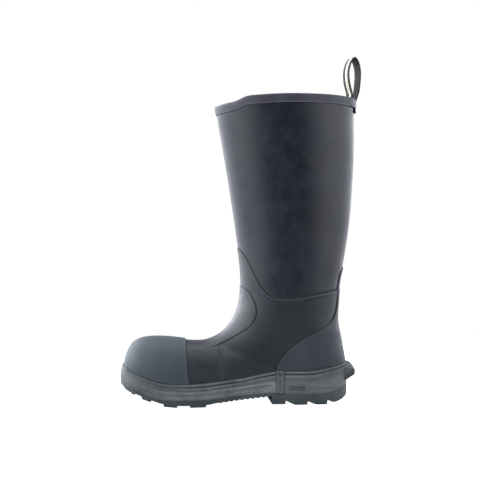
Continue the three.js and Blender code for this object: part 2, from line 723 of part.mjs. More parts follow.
const PIECES = [
  ["outsole", outsole, "soleRubber"],
  ["front_sidewall", frontSidewall, "soleRubber"],
  ["heel_sidewall", heelSidewall, "soleRubber"],
  ["foxing_bead", foxingBead, "footRubber"],
  ["inner_side_clip", () => sideClip(-1), "soleRubber"],
  ["outer_side_clip", () => sideClip(1), "soleRubber"],
  ["kick_off_lug", kickLug, "soleRubber"],
  ["midsole", midsole, "foam"],
  ["steel_shank", steelShank, "steel"],
  ["insole_board", insoleBoard, "board"],
  ["footbed", footbed, "foam"],
  ["steel_toe_cap", steelToeCap, "steel"],
  ["cap_edge_pad", capEdgePad, "foam"],
  ["heel_stiffener", heelStiffener, "board"],
  ["foot_shell", footShell, "footRubber"],
  ["toe_overlay", toeOverlay, "overlayRubber"],
  ["instep_panel", instepPanel, "footRubber"],
  ["heel_counter", heelCounter, "overlayRubber"],
  ["shaft_shell", shaftShell, "shaftRubber"],
  ["neoprene_bootie", neopreneBootie, "neoprene"],
  ["fabric_lining", fabricLining, "lining"],
  ["top_binding", topBinding, "shaftRubber"],
  ["pull_loop", pullLoop, "webbing"],
  ["outer_strap_tail", outerTail, "webbing"],
  ["inner_strap_tail", innerTail, "webbing"],
];

const boot = new THREE.Group();
for (const [name, make, material] of PIECES) {
  const mesh = new THREE.Mesh(geometryOf(make()), FINISHES[material]);
  mesh.name = name;
  boot.add(mesh);
}

export default boot;
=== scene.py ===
"""A tall pull-on rubber work boot with a steel toe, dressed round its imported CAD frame.

Lengths are in millimetres until they reach a mesh. +Z is up, the toe points along -X, and the
big-toe side faces -Y, where the camera stands. A place on the upper is u, which counts the
sections from the rim to the tip of the toe, and turn, the angle round them.
"""

import math

import bmesh
import bpy
import numpy as np
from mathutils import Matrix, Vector


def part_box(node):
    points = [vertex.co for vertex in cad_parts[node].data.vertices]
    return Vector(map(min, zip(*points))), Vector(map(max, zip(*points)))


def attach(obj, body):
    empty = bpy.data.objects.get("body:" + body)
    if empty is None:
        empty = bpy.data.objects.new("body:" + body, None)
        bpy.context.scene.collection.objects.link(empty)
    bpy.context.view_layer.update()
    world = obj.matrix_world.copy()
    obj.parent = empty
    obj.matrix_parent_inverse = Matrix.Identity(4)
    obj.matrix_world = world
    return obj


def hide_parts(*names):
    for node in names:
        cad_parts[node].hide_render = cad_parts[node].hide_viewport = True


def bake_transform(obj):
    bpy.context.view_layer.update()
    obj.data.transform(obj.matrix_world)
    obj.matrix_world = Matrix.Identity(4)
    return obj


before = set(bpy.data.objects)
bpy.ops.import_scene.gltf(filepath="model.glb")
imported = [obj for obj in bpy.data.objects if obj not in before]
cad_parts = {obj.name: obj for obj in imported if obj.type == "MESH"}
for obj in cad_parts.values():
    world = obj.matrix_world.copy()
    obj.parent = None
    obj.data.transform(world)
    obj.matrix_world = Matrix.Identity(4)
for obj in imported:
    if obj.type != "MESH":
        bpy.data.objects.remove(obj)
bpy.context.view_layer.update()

MM = 0.001
PI = math.pi

# ---------------- dimensions shared with the CAD

FOOT_RUBBER = 2.2
SHAFT_RECESS = 0.9
NEOPRENE = 3.5
LINING = 0.7
STIFFENER_ROOM = 2.1
GAP = 0.3
TOE_OVERLAY = 2.0
HEEL_OVERLAY = 1.5
INSTEP_OVERLAY = 1.1
UNDER_BINDING = 3.0  # how far below the rim line the shaft and the sock end
TAIL_ROOM = 1.6
BEAD_HEIGHT = 5.0
SIDEWALL_THICK = 7.0
CLIP_FRONT = 47.0
CLIP_BACK = 57.6
SIDEWALL_JOINT = 52.3
HEEL_BREAST = 40.9  # the x of the heel's front wall
LUG_HALF_WIDTH = 19.0
STRAP_WIDTH = 19.0
STRAP_THICK = 1.8
STRAP_TWIST = math.radians(15.5)
STRAP_HUG = 45.0  # twice the radius of the shaft's back, which the sewn tails lie along
LOOP_PIVOT = (159.2, 0.0, 428.6)

# ---------------- details of the rubber and cloth

FILLET = 1.4  # the thin line of cement that shows round a raised patch
FILLET_HEIGHT = 0.12
PATCH_SINK = 0.25  # how deep a patch is let into the rubber under it
UNDER_BEAD = 4.5  # how far a patch runs down behind the foxing bead
SIDE_BLOCK_DEPTH = 2.5  # how deep a block on the sole's side is let into it
LEG_RADIUS = 45  # by which the lining's knit is laid out round the leg
RIB = 1.1  # the pitch of the pull strap's warp ribs
BAR = 0.9  # the pitch of its weft bars
STRIPE_MIDDLE = -1.6  # where its pale stripe is, across the strap
STRIPE_HALF = 3.4

# Sections of the upper: front or top point, back or bottom point, drift towards +Y, half width on
# the big-toe side and on the little-toe side, where it is widest, and how square each half is.
SECTIONS = np.array([
    [-38.9, 432, 162, 432, 0, 47, 47.5, 0.5, 1.9, 2],
    [-32.2, 392, 161.7, 392, 0, 47, 47.5, 0.5, 1.95, 2],
    [-25.1, 352, 161.5, 352, 0, 46, 46.5, 0.5, 2, 2],
    [-18.2, 310, 159.8, 310, 0, 45, 45.5, 0.5, 2, 2],
    [-11.6, 268, 156.8, 268, 0, 43.5, 44, 0.5, 2, 2.05],
    [-6.2, 230, 152.1, 229, 0, 42, 42.5, 0.5, 2, 2.1],
    [-1.7, 198, 146.4, 195, 0, 41, 41.5, 0.5, 2.05, 2.2],
    [0.4, 173, 140.5, 167, 0, 40, 40.5, 0.5, 2.1, 2.3],
    [0.4, 150, 138, 140, 0, 39, 39.5, 0.51, 2.1, 2.35],
    [-3.4, 130.5, 136.6, 115, 0, 38, 39, 0.52, 2.1, 2.4],
    [-10.2, 115.3, 140.2, 93, 0, 37, 38.5, 0.54, 2.1, 2.5],
    [-19, 103.1, 144.6, 71, 0, 36.5, 38.5, 0.56, 2.1, 2.5],
    [-28.6, 95, 147, 53, 0, 36, 38.5, 0.57, 2.1, 2.5],
    [-39, 89.9, 143.5, 37, 0, 36, 40, 0.56, 2.15, 2.6],
    [-50, 87, 130, 27, -0.5, 35.5, 41.5, 0.54, 2.15, 2.9],
    [-61.5, 86.3, 92, 23.5, -1, 37, 45.5, 0.53, 2.2, 3.2],
    [-74, 86.9, 38, 21.5, -1.5, 41, 51.5, 0.56, 2.25, 3.4],
    [-87.5, 88.7, -20, 17, -2, 47, 55.5, 0.62, 2.3, 3.4],
    [-102, 90.3, -72, 13.5, -3, 52, 57, 0.68, 2.35, 3.3],
    [-117.5, 91, -107.5, 13.5, -4.5, 48.5, 53.5, 0.7, 2.4, 3.2],
    [-132, 90, -130, 19.5, -5.5, 42.5, 46.5, 0.7, 2.4, 3],
    [-143.5, 86.3, -143.5, 25, -6, 37, 39, 0.69, 2.35, 2.7],
    [-152, 78.5, -152.5, 30.5, -6, 30.5, 31.5, 0.66, 2.25, 2.4],
    [-157.8, 66, -158.1, 39, -6, 22, 22.5, 0.6, 2.1, 2.1],
    [-160.4, 51, -160.4, 51, -6, 0, 0, 0.5, 2, 2],
], float)
TIP = len(SECTIONS) - 1  # u at the tip of the toe; u is 0 above the rim

# Lines seen from the side, each a list of (x, z) that a smooth curve runs through.
RIM_LINE = [
    (-42, 411), (-34, 412), (-20, 414.6), (-10, 416.5), (-3.5, 419), (3, 422), (10, 423.8),
    (25, 424.9), (60, 426.5), (100, 426.8), (130, 426.3), (150, 425), (165, 423.5),
]
SEAM_LINE = [
    (-30, 236), (-14, 224), (-2.5, 213), (8, 199), (15, 183), (24, 165.5), (35.5, 151),
    (50, 145.8), (74, 145.6), (94, 149.4), (139, 157.2), (170, 162),
]
FOXING_LINE = [
    (-175, 60), (-161, 54.6), (-145, 46), (-132, 41.2), (-115, 36), (-98, 33), (-74, 32), (-50, 33),
    (-11, 37.2), (14, 41.2), (38, 45.4), (50, 47.2), (63, 46.7), (95, 46.7), (113, 49.3), (134, 53.2),
    (146, 55.6), (160, 57),
]
TOE_EDGE = [(-76, 110), (-76, 88), (-75.6, 57), (-72.4, 33), (-70, 10)]
COUNTER_LINE = [
    (45.5, 34), (47, 46), (53, 61), (68, 78), (88, 92), (107, 101.5), (122, 111), (129.5, 120),
    (133.3, 130), (134.8, 140), (135.9, 154), (138.1, 171), (141, 183), (142.8, 187.5),
]
COUNTER_TOP = 187
INSTEP_LINE = [
    (-3, 164), (8, 157), (15.5, 146), (20, 132.6), (19.4, 120.6), (12, 107.3), (-5.2, 95.2),
    (-25, 84.3), (-40, 79), (-56, 78), (-72, 77.5), (-84, 77),
]
SOLE_BOTTOM = [
    (-175, 37), (-168, 31.5), (-162.8, 27), (-158.5, 22.8), (-151.5, 19.2), (-143.3, 16.8),
    (-137, 14.4), (-128, 11.4), (-119, 8.2), (-108.5, 5.2), (-97, 3.6), (-85, 2.6), (-73, 2.6),
    (-62, 2.9), (-46, 3.4), (-38, 4.8), (-30, 5.9), (-13, 8), (10, 10.2), (38, 12.4), (60, 13), (150, 13),
]
OUTSOLE_TOP = [
    (-175, 41), (-168, 36), (-162.8, 31.4), (-157, 26.8), (-150, 23), (-143.5, 20.4), (-137, 18),
    (-128, 15), (-119, 12.4), (-108.5, 10.4), (-90, 9.6), (-50, 9.6), (-33, 11.2), (-13, 13),
    (10, 14.8), (38, 16.2), (60, 15.4), (100, 14.6), (120, 16), (136, 20), (148, 24.6), (160, 28),
]
FLOOR_LINE = [
    (-165, 34), (-150, 29.5), (-131, 26.5), (-108, 23.2), (-72, 22.2), (-20, 25.2), (38, 29.8),
    (92, 33), (125, 35), (150, 38),
]

# The sole seen from above, from the tip of the toe round the big-toe side to the heel and back.
OUTLINE = [
    (-166.4, -7.5), (-162.2, -27), (-149, -42), (-122, -52.5), (-92, -57.5), (-62, -57), (-28, -50.5),
    (8, -44.2), (45, -40.4), (85, -39.8), (119, -36.5), (142, -22), (150, -1), (142, 20.5),
    (119, 35.5), (85, 41.8), (45, 46.5), (8, 52.4), (-30, 57.3), (-66, 58), (-100, 54.5),
    (-131, 44), (-154, 28), (-163.9, 10),
]

# ---------------- curves


def rise(x, low, high):
    """0 before low and 1 past high, smooth between them. High may be the smaller number."""
    t = np.clip((np.asarray(x, float) - low) / (high - low), 0, 1)
    return t * t * (3 - 2 * t)


def fall(x, low, high):
    """1 before low and 0 past high, smooth between them."""
    return 1 - rise(x, low, high)


def ridge(value, centre, half, soft):
    """1 in a band and 0 outside it, with soft sides."""
    low, high = centre - half, centre + half
    return rise(value, low - soft, low) * fall(value, high, high + soft)


def rounded(distance, radius):
    """0 at an edge and 1 from radius inwards, round in section."""
    share = 1 - np.clip(distance / radius, 0, 1)
    return np.sqrt(np.maximum(1 - share**2, 0))


def zigzag(value, period):
    """1 at each whole period and 0 halfway between, in straight lines."""
    return np.abs(np.mod(value / period, 1) - 0.5) * 2


def close_at_ends(low, high, count):
    """Numbers from low to high, closer together at both ends."""
    return low + (high - low) * (np.sin(np.linspace(-PI / 2, PI / 2, count)) + 1) / 2


def between(t, before, a, b, after):
    """A smooth curve's point at t from a to b, given the points before and after them."""
    slope_a, slope_b = (b - before) / 2, (after - a) / 2
    return (
        (2 * t**3 - 3 * t**2 + 1) * a
        + (t**3 - 2 * t**2 + t) * slope_a
        + (3 * t**2 - 2 * t**3) * b
        + (t**3 - t**2) * slope_b
    )


def spline(points, per_span=8, closed=False):
    """A smooth curve through points, sampled evenly in its own parameter."""
    p = np.asarray(points, float)
    spans = len(p) if closed else len(p) - 1
    k = np.arange(spans * per_span + (0 if closed else 1)) / per_span
    i = np.minimum(k.astype(int), spans - 1)

    def pick(j):
        return p[j % len(p)] if closed else p[np.clip(j, 0, len(p) - 1)]

    return between((k - i)[:, None], *(pick(i + step) for step in (-1, 0, 1, 2)))


def height_on(line):
    """The height of a side-view line as a function of x."""
    curve = spline(line)
    return lambda x: np.interp(x, curve[:, 0], curve[:, 1])


def x_on(line):
    """The x of a side-view line as a function of height."""
    curve = spline(line)
    curve = curve[np.argsort(curve[:, 1])]
    return lambda z: np.interp(z, curve[:, 1], curve[:, 0])


def above(height, p):
    """How far points are above a side-view line."""
    return p[..., 2] - height(p[..., 0])


rim_height = height_on(RIM_LINE)
seam_height = height_on(SEAM_LINE)
foxing_height = height_on(FOXING_LINE)
sole_bottom = height_on(SOLE_BOTTOM)
outsole_top = height_on(OUTSOLE_TOP)
floor_height = height_on(FLOOR_LINE)
toe_edge_x = x_on(TOE_EDGE)
counter_x = x_on(COUNTER_LINE)
instep_x = x_on(INSTEP_LINE)


def unit(v):
    """Vectors at length 1."""
    return v / np.maximum(np.linalg.norm(v, axis=-1, keepdims=True), 1e-9)


def lengths(points, axis):
    """How far each point is along its row or column, starting at 0."""
    steps = np.linalg.norm(np.diff(points, axis=axis), axis=-1)
    start = np.zeros_like(np.take(steps, [0], axis=axis))
    return np.concatenate([start, np.cumsum(steps, axis=axis)], axis=axis)


# ---------------- the upper's surface


def section_at(u):
    """The ten numbers of the section at u, smoothly between the ones in the table."""
    i = np.clip(u.astype(int), 0, TIP - 1)
    return between((u - i)[..., None], *(SECTIONS[np.clip(i + step, 0, TIP)] for step in (-1, 0, 1, 2)))


def skin(u, turn):
    """Points of the foot shell's outer face. turn is 0 at the front or top, pi at the back or sole."""
    u, turn = np.broadcast_arrays(np.asarray(u, float), np.asarray(turn, float))
    fx, fz, bx, bz, drift, inner, outer, widest, front, back = np.moveaxis(section_at(u), -1, 0)
    c, s = np.abs(np.cos(turn)), np.abs(np.sin(turn))
    ahead = np.cos(turn) > 0
    power = np.where(ahead, front, back)
    reach = (c**power + s**power) ** (-1 / power)
    along = np.where(ahead, widest * (1 - reach * c), widest + (1 - widest) * reach * c)
    across = reach * s * np.where(np.sin(turn) > 0, -inner, outer)
    return np.stack([fx + (bx - fx) * along, drift + across, fz + (bz - fz) * along], -1)


def skin_normal(u, turn, step=0.03):
    """The outward direction of the foot shell's face."""
    u, turn = np.broadcast_arrays(np.asarray(u, float), np.asarray(turn, float))
    low, high = np.maximum(u - step, 0), np.minimum(u + step, TIP - 0.01)
    down = skin(high, turn) - skin(low, turn)
    round_ = skin(u, turn + step) - skin(u, turn - step)
    normal = unit(np.cross(down, round_))
    tip = rise(u, TIP - 0.25, TIP - 0.02)[..., None]
    return unit(normal * (1 - tip) + np.array([-1.0, 0, 0]) * tip)


def raised(u, turn, offset):
    """The skin moved out by offset."""
    return skin(u, turn) + skin_normal(u, turn) * np.asarray(offset)[..., None]


def bisect(positive, low, high, shape):
    """For each place, the value from low to high at which positive(value) stops being true."""
    a, b = np.full(shape, float(low)), np.full(shape, float(high))
    for _ in range(40):
        middle = (a + b) / 2
        inside = positive(middle)
        a, b = np.where(inside, middle, a), np.where(inside, b, middle)
    return (a + b) / 2


def crossing(turn, side, low=0, high=TIP):
    """For each turn, the u where side(point) changes from positive to negative."""
    return bisect(lambda u: side(skin(u, turn)) > 0, low, high, np.shape(turn))


def turn_crossing(u, side, start, end):
    """For each u, the turn between start and end where side(point) stops being positive."""
    return bisect(lambda turn: side(skin(u, turn)) > 0, start, end, np.shape(u))


def unevenness(p):
    """The slow waviness of hand-laid rubber, in millimetres."""
    x, y, z = np.moveaxis(p, -1, 0)
    wave = 0.5 * np.sin(x / 17 + 1.3 * np.sin(z / 41)) * np.sin(z / 37 + y / 29 + 0.6)
    wave += 0.3 * np.sin(x / 9 + z / 23 + 2.1) * np.cos(y / 13 - z / 31)
    return 0.3 * wave


# ---------------- meshes


def grid_faces(rows, columns, wrap_rows=False, wrap_columns=False):
    """The four-cornered faces of a grid of points, joined up at its ends where it wraps."""
    i, j = np.meshgrid(
        np.arange(rows if wrap_rows else rows - 1),
        np.arange(columns if wrap_columns else columns - 1),
        indexing="ij",
    )
    below, beside = (i + 1) % rows, (j + 1) % columns
    corners = [i * columns + j, below * columns + j, below * columns + beside, i * columns + beside]
    return np.stack(corners, -1).reshape(-1, 4)


def shell(outer, inner, wrap, keep=None):
    """A closed shell between two grids of points. keep is a mask of the outer points that stay."""
    rows, columns = outer.shape[:2]
    top = grid_faces(rows, columns, wrap_columns=wrap)
    if keep is not None:
        top = top[keep.ravel()[top].all(axis=1)]
    count = rows * columns
    edges = np.concatenate([top[:, [k, (k + 1) % 4]] for k in range(4)])
    lone = ~np.isin(edges[:, 0] * count + edges[:, 1], edges[:, 1] * count + edges[:, 0])
    a, b = edges[lone].T
    walls = np.stack([b, a, a + count, b + count], -1)
    faces = np.concatenate([top, top[:, ::-1] + count, walls])
    return np.concatenate([outer.reshape(-1, 3), inner.reshape(-1, 3)]), faces


def tube(sections, closed):
    """A closed skin round sections of shape (along, around, 3), capped at its ends unless closed."""
    along, around = sections.shape[:2]
    faces = [tuple(f) for f in grid_faces(along, around, wrap_rows=closed, wrap_columns=True)]
    if not closed:
        faces.append(tuple(range(around)))
        faces.append(tuple((along - 1) * around + k for k in reversed(range(around))))
    return sections.reshape(-1, 3), faces


def place_object(name, data):
    made = bpy.data.objects.new(name, data)
    bpy.context.scene.collection.objects.link(made)
    return made


def piece(name, points, faces, material, slot, replaced=(), fields=None, crease=40, body="boot"):
    """One part of the boot as its own object, riding on body unless body is None.

    Fields are point attributes: two are shares, one that lightens worn places and painted highlights and
    one that darkens cement lines and painted shade, and "cloth" is how far each point is across and along
    the cloth, and which of its faces it is on.
    """
    mesh = bpy.data.meshes.new(name)
    mesh.from_pydata((np.asarray(points) * MM).tolist(), [], [tuple(map(int, f)) for f in faces])
    for key, values in (fields or {}).items():
        kind, item = ("FLOAT_VECTOR", "vector") if key == "cloth" else ("FLOAT", "value")
        made = mesh.attributes.new(key, kind, "POINT")
        made.data.foreach_set(item, np.ravel(values).astype(np.float32))
    work = bmesh.new()
    work.from_mesh(mesh)
    bmesh.ops.remove_doubles(work, verts=work.verts, dist=2e-6)
    bmesh.ops.dissolve_degenerate(work, dist=1e-6, edges=work.edges)
    loose = [v for v in work.verts if not v.link_faces]
    bmesh.ops.delete(work, geom=loose, context="VERTS")
    bmesh.ops.recalc_face_normals(work, faces=work.faces)
    work.to_mesh(mesh)
    work.free()
    mesh.shade_smooth()
    mesh.set_sharp_from_angle(angle=math.radians(crease))
    mesh.materials.append(material)
    obj = place_object(name, mesh)
    if body:
        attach(obj, body)
    if replaced:
        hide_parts(*replaced)
    return obj


def layer(name, outer, inner, material, slot, replaced=(), fields=None, cloth=None, crease=40, wrap=True,
          keep=None):
    """A piece between two grids of points, with its fields on the outer one and its cloth on both."""
    points, faces = shell(outer, inner, wrap, keep)
    both = {key: np.concatenate([np.ravel(v), np.zeros(np.size(v))]) for key, v in (fields or {}).items()}
    if cloth is not None:
        both["cloth"] = np.stack([cloth, cloth])
    return piece(name, points, faces, material, slot, replaced, both, crease)


# ---------------- materials


def linear(srgb):
    """A 0-255 sRGB colour as a linear RGBA one."""
    scaled = [c / 255 for c in srgb]
    return tuple(c / 12.92 if c < 0.04045 else ((c + 0.055) / 1.055) ** 2.4 for c in scaled) + (1.0,)


class Nodes:
    """A node tree under construction. A socket takes a number, a 0-255 colour or another socket."""

    def __init__(self, owner):
        owner.use_nodes = True
        self.tree = owner.node_tree

    def plug(self, socket, value):
        if isinstance(value, bpy.types.NodeSocket):
            self.tree.links.new(value, socket)
        else:
            socket.default_value = linear(value) if socket.type == "RGBA" else value

    def node(self, kind, inputs=None, **settings):
        made = self.tree.nodes.new("ShaderNode" + kind)
        for key, value in settings.items():
            setattr(made, key, value)
        for key, value in (inputs or {}).items():
            self.plug(made.inputs[key], value)
        return made

    def math(self, operation, a, b=0.0):
        return self.node("Math", {0: a, 1: b}, operation=operation).outputs[0]

    def times(self, a, b):
        return self.math("MULTIPLY", a, b)

    def plus(self, a, b):
        return self.math("ADD", a, b)

    def size(self, a):
        return self.math("ABSOLUTE", a)

    def mixed(self, a, share_a, b, share_b):
        return self.plus(self.times(a, share_a), self.times(b, share_b))

    def ramp(self, value, low, high, to_low=0.0, to_high=1.0):
        inputs = {"Value": value, 1: low, 2: high, 3: to_low, 4: to_high}
        return self.node("MapRange", inputs, interpolation_type="SMOOTHSTEP").outputs[0]


class Shader(Nodes):
    """A material's nodes, on the piece's own coordinates in metres."""

    def __init__(self, name):
        self.material = bpy.data.materials.new(name)
        super().__init__(self.material)
        self.surface = self.tree.nodes["Principled BSDF"].inputs
        self.place = self.node("TexCoord").outputs["Object"]

    def noise(self, scale, detail=3.0, roughness=0.55, place=None):
        inputs = {"Vector": place or self.place, "Scale": scale, "Detail": detail, "Roughness": roughness}
        return self.node("TexNoise", inputs).outputs["Fac"]

    def stretched(self, *scale):
        return self.node("Mapping", {"Vector": self.place, "Scale": scale}).outputs[0]

    def blend(self, share, a, b):
        return self.node("Mix", {0: share, 6: a, 7: b}, data_type="RGBA").outputs[2]

    def field(self, name, output="Fac"):
        return self.node("Attribute", attribute_name=name).outputs[output]

    def cloth(self):
        """How far across and along the cloth a point is, and which face it is on."""
        return self.node("SeparateXYZ", {0: self.field("cloth", "Vector")}).outputs

    def bump(self, height, distance, strength=0.9, below=None):
        inputs = {"Height": height, "Distance": distance, "Strength": strength}
        if below is not None:
            inputs["Normal"] = below
        return self.node("Bump", inputs).outputs["Normal"]

    def finish(self, color, roughness, normal, metallic=0.0, specular=0.5, sheen=0.0):
        self.plug(self.surface["Base Color"], color)
        self.plug(self.surface["Roughness"], roughness)
        self.plug(self.surface["Normal"], normal)
        self.surface["Metallic"].default_value = metallic
        self.surface["Specular IOR Level"].default_value = specular
        self.surface["Sheen Weight"].default_value = sheen
        return self.material


def rubber(name, dark, light, scuff_and_highlight, roughness, grain=0.00005, waviness=0.0004, speckle=0.16):
    """Moulded rubber: cloudy and speckled, finely grained, paler where worn and where highlights are painted
    on, and near-black along cement lines and where shade is painted into grooves, under lips and in
    recesses.
    """
    s = Shader(name)
    color = s.blend(s.ramp(s.noise(22, 4), 0.35, 0.68), dark, light)
    color = s.blend(s.times(s.ramp(s.noise(420, 4, 0.7), 0.52, 0.72), speckle), color, scuff_and_highlight)
    # The third colour lightens places that are worn, and also stands in for painted highlights on some edges
    # and bands.
    rubbed_and_highlight = s.times(s.field("wear"), s.ramp(s.noise(70, 3), 0.2, 0.7, 0.35, 0.8))
    color = s.blend(s.times(rubbed_and_highlight, 0.6), color, scuff_and_highlight)
    # The near-black colour marks cement lines and also paints shade into grooves, under lips and in
    # recesses.
    seam = s.field("seam")
    color = s.blend(s.times(seam, 0.92), color, CEMENT_AND_SHADE_COLOR)
    pits = s.ramp(s.noise(330, 3, 0.6), 0.64, 0.74)
    matt = s.ramp(s.noise(45, 5, 0.65), 0.3, 0.7, *roughness)
    matt = s.plus(matt, s.times(s.math("MAXIMUM", seam, pits), 0.35))
    slow = s.bump(s.noise(34, 2, 0.4), waviness, 0.6)
    return s.finish(color, matt, s.bump(s.noise(1500), grain, 0.8, slow))


def knit(name, dark, light, pitch=1.3):
    """Knitted cloth: columns of small slanted loops along the piece's own lengths."""
    s = Shader(name)
    across, down, _ = s.cloth()
    column = s.size(s.math("SINE", s.times(across, 2 * PI / pitch)))
    row = s.math("SINE", s.plus(s.times(down, 2 * PI / (pitch * 0.8)), s.times(column, 1.4)))
    loop = s.times(column, s.ramp(row, -1.0, 1.0))
    fuzz = s.noise(2200)
    color = s.blend(s.mixed(loop, 0.65, fuzz, 0.35), dark, light)
    normal = s.bump(s.plus(loop, s.times(fuzz, 0.3)), 0.0003)
    return s.finish(color, s.ramp(fuzz, 0.3, 0.7, 0.82, 0.96), normal, specular=0.25, sheen=0.4)


def webbing(name, dark, light, pale):
    """Woven strap: warp ribs along it, weft bars across, and a pale woven stripe on one face."""
    s = Shader(name)
    across, along, face = s.cloth()
    rib = s.size(s.math("SINE", s.times(across, PI / RIB)))
    step = s.times(s.math("FLOOR", s.math("DIVIDE", across, RIB)), 0.5)
    weave = s.times(rib, s.size(s.math("SINE", s.times(s.plus(along, step), PI / BAR))))
    fuzz = s.noise(2600)
    yarn = s.blend(s.mixed(weave, 0.6, fuzz, 0.4), dark, light)
    stripe = s.math("LESS_THAN", s.size(s.math("SUBTRACT", across, STRIPE_MIDDLE)), STRIPE_HALF)
    stripe = s.times(stripe, s.math("LESS_THAN", face, 0.5))
    color = s.blend(s.times(stripe, s.ramp(weave, 0.0, 0.5, 0.75, 1.0)), yarn, pale)
    normal = s.bump(s.plus(weave, s.times(fuzz, 0.25)), 0.0003)
    return s.finish(color, s.ramp(fuzz, 0.3, 0.7, 0.7, 0.9), normal, specular=0.25, sheen=0.08)


def foam(name, dark, light, cell=1400):
    """Closed-cell foam or sponge rubber: small pits all over and a soft cloudiness."""
    s = Shader(name)
    pit = s.ramp(s.node("TexVoronoi", {"Vector": s.place, "Scale": cell}).outputs["Distance"], 0.1, 0.55)
    cloud = s.ramp(s.noise(60, 4), 0.3, 0.7)
    color = s.blend(s.mixed(pit, 0.5, cloud, 0.5), dark, light)
    return s.finish(color, s.ramp(cloud, 0.0, 1.0, 0.8, 0.95), s.bump(pit, 0.00025, 0.8), specular=0.3)


def fibre_board(name, dark, light):
    """Pressed fibre board: short felted fibres in random directions."""
    s = Shader(name)
    fibre = s.noise(700, 5, 0.7, s.stretched(1.0, 4.0, 1.0))
    color = s.blend(s.mixed(fibre, 0.6, s.noise(40), 0.4), dark, light)
    return s.finish(color, s.ramp(fibre, 0.3, 0.7, 0.75, 0.95), s.bump(fibre, 0.0002, 0.7), specular=0.3)


def pressed_steel(name, dark, light):
    """Drawn steel with rolling lines, a thin oil film and a few dull patches."""
    s = Shader(name)
    lines = s.noise(1800, 4, 0.7, s.stretched(0.15, 1.0, 1.0))
    patches = s.ramp(s.noise(50, 4), 0.4, 0.65)
    color = s.blend(s.mixed(lines, 0.4, patches, 0.5), dark, light)
    matt = s.ramp(s.plus(lines, patches), 0.4, 1.4, 0.28, 0.52)
    return s.finish(color, matt, s.bump(lines, 0.00005, 0.5), metallic=1.0)


# The near-black of cement lines, used as well for painted shade in grooves, under lips and in recesses.
CEMENT_AND_SHADE_COLOR = (4.942, 5.601, 6.589)
SHAFT_RUBBER = rubber(
    "shaft_rubber", (12, 15, 25), (17, 21, 33), (66, 71, 88), (0.28, 0.42), waviness=0.0003
)
FOOT_RUBBER_FINISH = rubber("foot_rubber", (10, 16, 22), (15, 23, 31), (74, 88, 100), (0.34, 0.48))
TOE_RUBBER = rubber("toe_overlay_rubber", (35, 45, 52), (43, 54, 62), (92, 105, 114), (0.5, 0.64))
COUNTER_RUBBER = rubber("heel_counter_rubber", (32, 36, 43), (40, 45, 53), (92, 98, 106), (0.48, 0.62))
SOLE_RUBBER = rubber(
    "sole_rubber", (50, 56, 58), (74, 80, 81), (138, 143, 143), (0.5, 0.68), grain=0.00008, speckle=0.3
)
TREAD_RUBBER = rubber(
    "tread_rubber", (40, 48, 50), (58, 66, 68), (108, 116, 118), (0.58, 0.78), grain=0.0001, speckle=0.3
)
BINDING_RUBBER = rubber(
    "binding_rubber", (30, 30, 38), (44, 44, 54), (104, 104, 118), (0.42, 0.55), grain=0.00016, speckle=0.3
)
NEOPRENE_FINISH = foam("neoprene", (22, 23, 26), (38, 40, 44), 1900)
LINING_FINISH = knit("lining_knit", (34, 35, 39), (72, 74, 80))
FOOTBED_FINISH = knit("footbed_cloth", (30, 31, 34), (64, 66, 70), pitch=1.6)
WEBBING_FINISH = webbing("pull_strap_webbing", (12, 12, 13), (44, 44, 45), (196, 196, 174))
FOAM_FINISH = foam("midsole_foam", (66, 70, 72), (104, 108, 110))
PAD_FINISH = foam("cap_edge_foam", (60, 62, 64), (92, 95, 98), 2000)
BOARD_FINISH = fibre_board("insole_board_fibre", (150, 132, 100), (206, 190, 158))
STIFFENER_FINISH = fibre_board("heel_stiffener_fibre", (120, 112, 98), (176, 168, 150))
STEEL_FINISH = pressed_steel("pressed_steel", (120, 124, 128), (190, 193, 196))

# ---------------- the upper

AROUND = 160
TURNS = np.arange(AROUND) * 2 * PI / AROUND


def rows_between(start, end, near, count):
    """u for each row: rows at the distances near from the start, then count even ones to the end."""
    rate = 0.05 / np.maximum(np.linalg.norm(skin(start + 0.05, TURNS) - skin(start, TURNS), axis=-1), 0.02)
    close = start + np.array(near)[:, None] * rate
    share = (np.arange(count) + 1)[:, None] / count
    return np.concatenate([close, close[-1] + (end - close[-1]) * share])


def below_rim(drop, turn=TURNS):
    """The u at which each turn is drop below the rim line."""
    return crossing(turn, lambda p: above(rim_height, p) + drop, high=4)


def shaft_crease(p):
    """A faint upright crease low on the shaft's sides."""
    x, _, z = np.moveaxis(p, -1, 0)
    away = x - (64 + 5 * np.sin((z - 160) / 55))
    return 0.3 * rise(z, 160, 195) * fall(z, 222, 246) * np.exp(-((away / 1.8) ** 2))


def shaft_piece():
    top = below_rim(UNDER_BINDING)
    bottom = crossing(TURNS, lambda p: above(seam_height, p) + 0.4)
    u = rows_between(bottom, top, [0, -0.5, -0.9, -1.3, -1.7, -2.2, -3, -4.5], 120)[::-1]
    p = skin(u, TURNS)
    wave = unevenness(p) * rise(u - top, 0, 0.5)
    outer = raised(u, TURNS, wave + shaft_crease(p) - SHAFT_RECESS)
    inner = raised(u, TURNS, -FOOT_RUBBER)
    # The shaft's lowest 3 mm are darkened: a cement line along the joint with the foot, with painted shade
    # in the joint.
    fields = {"seam": fall(lengths(outer[::-1], 0)[::-1], 2.3, 3.0)}
    layer("shaft_rubber_shell", outer, inner, SHAFT_RUBBER, "shaft_rubber", ["shaft_shell"], fields)


def collar(p, distance):
    """The raised lip under the shaft's joint with the foot, strongest on the ankle's sides, in millimetres.
    """
    place = rise(p[..., 0], 16, 40) * fall(p[..., 0], 98, 122)
    return (0.15 + 0.75 * place) * rise(distance, 0.2, 1.2) * fall(distance, 4.0, 5.6)


def vamp_step(p):
    """The edge of the vamp's inner reinforcement, seen through the foot shell as a soft step."""
    x, _, z = np.moveaxis(p, -1, 0)
    return 0.4 * fall(z, 74, 84) * fall(x + 27.5 + 3.5 * rise(z, 45, 80), -0.6, 0.8)


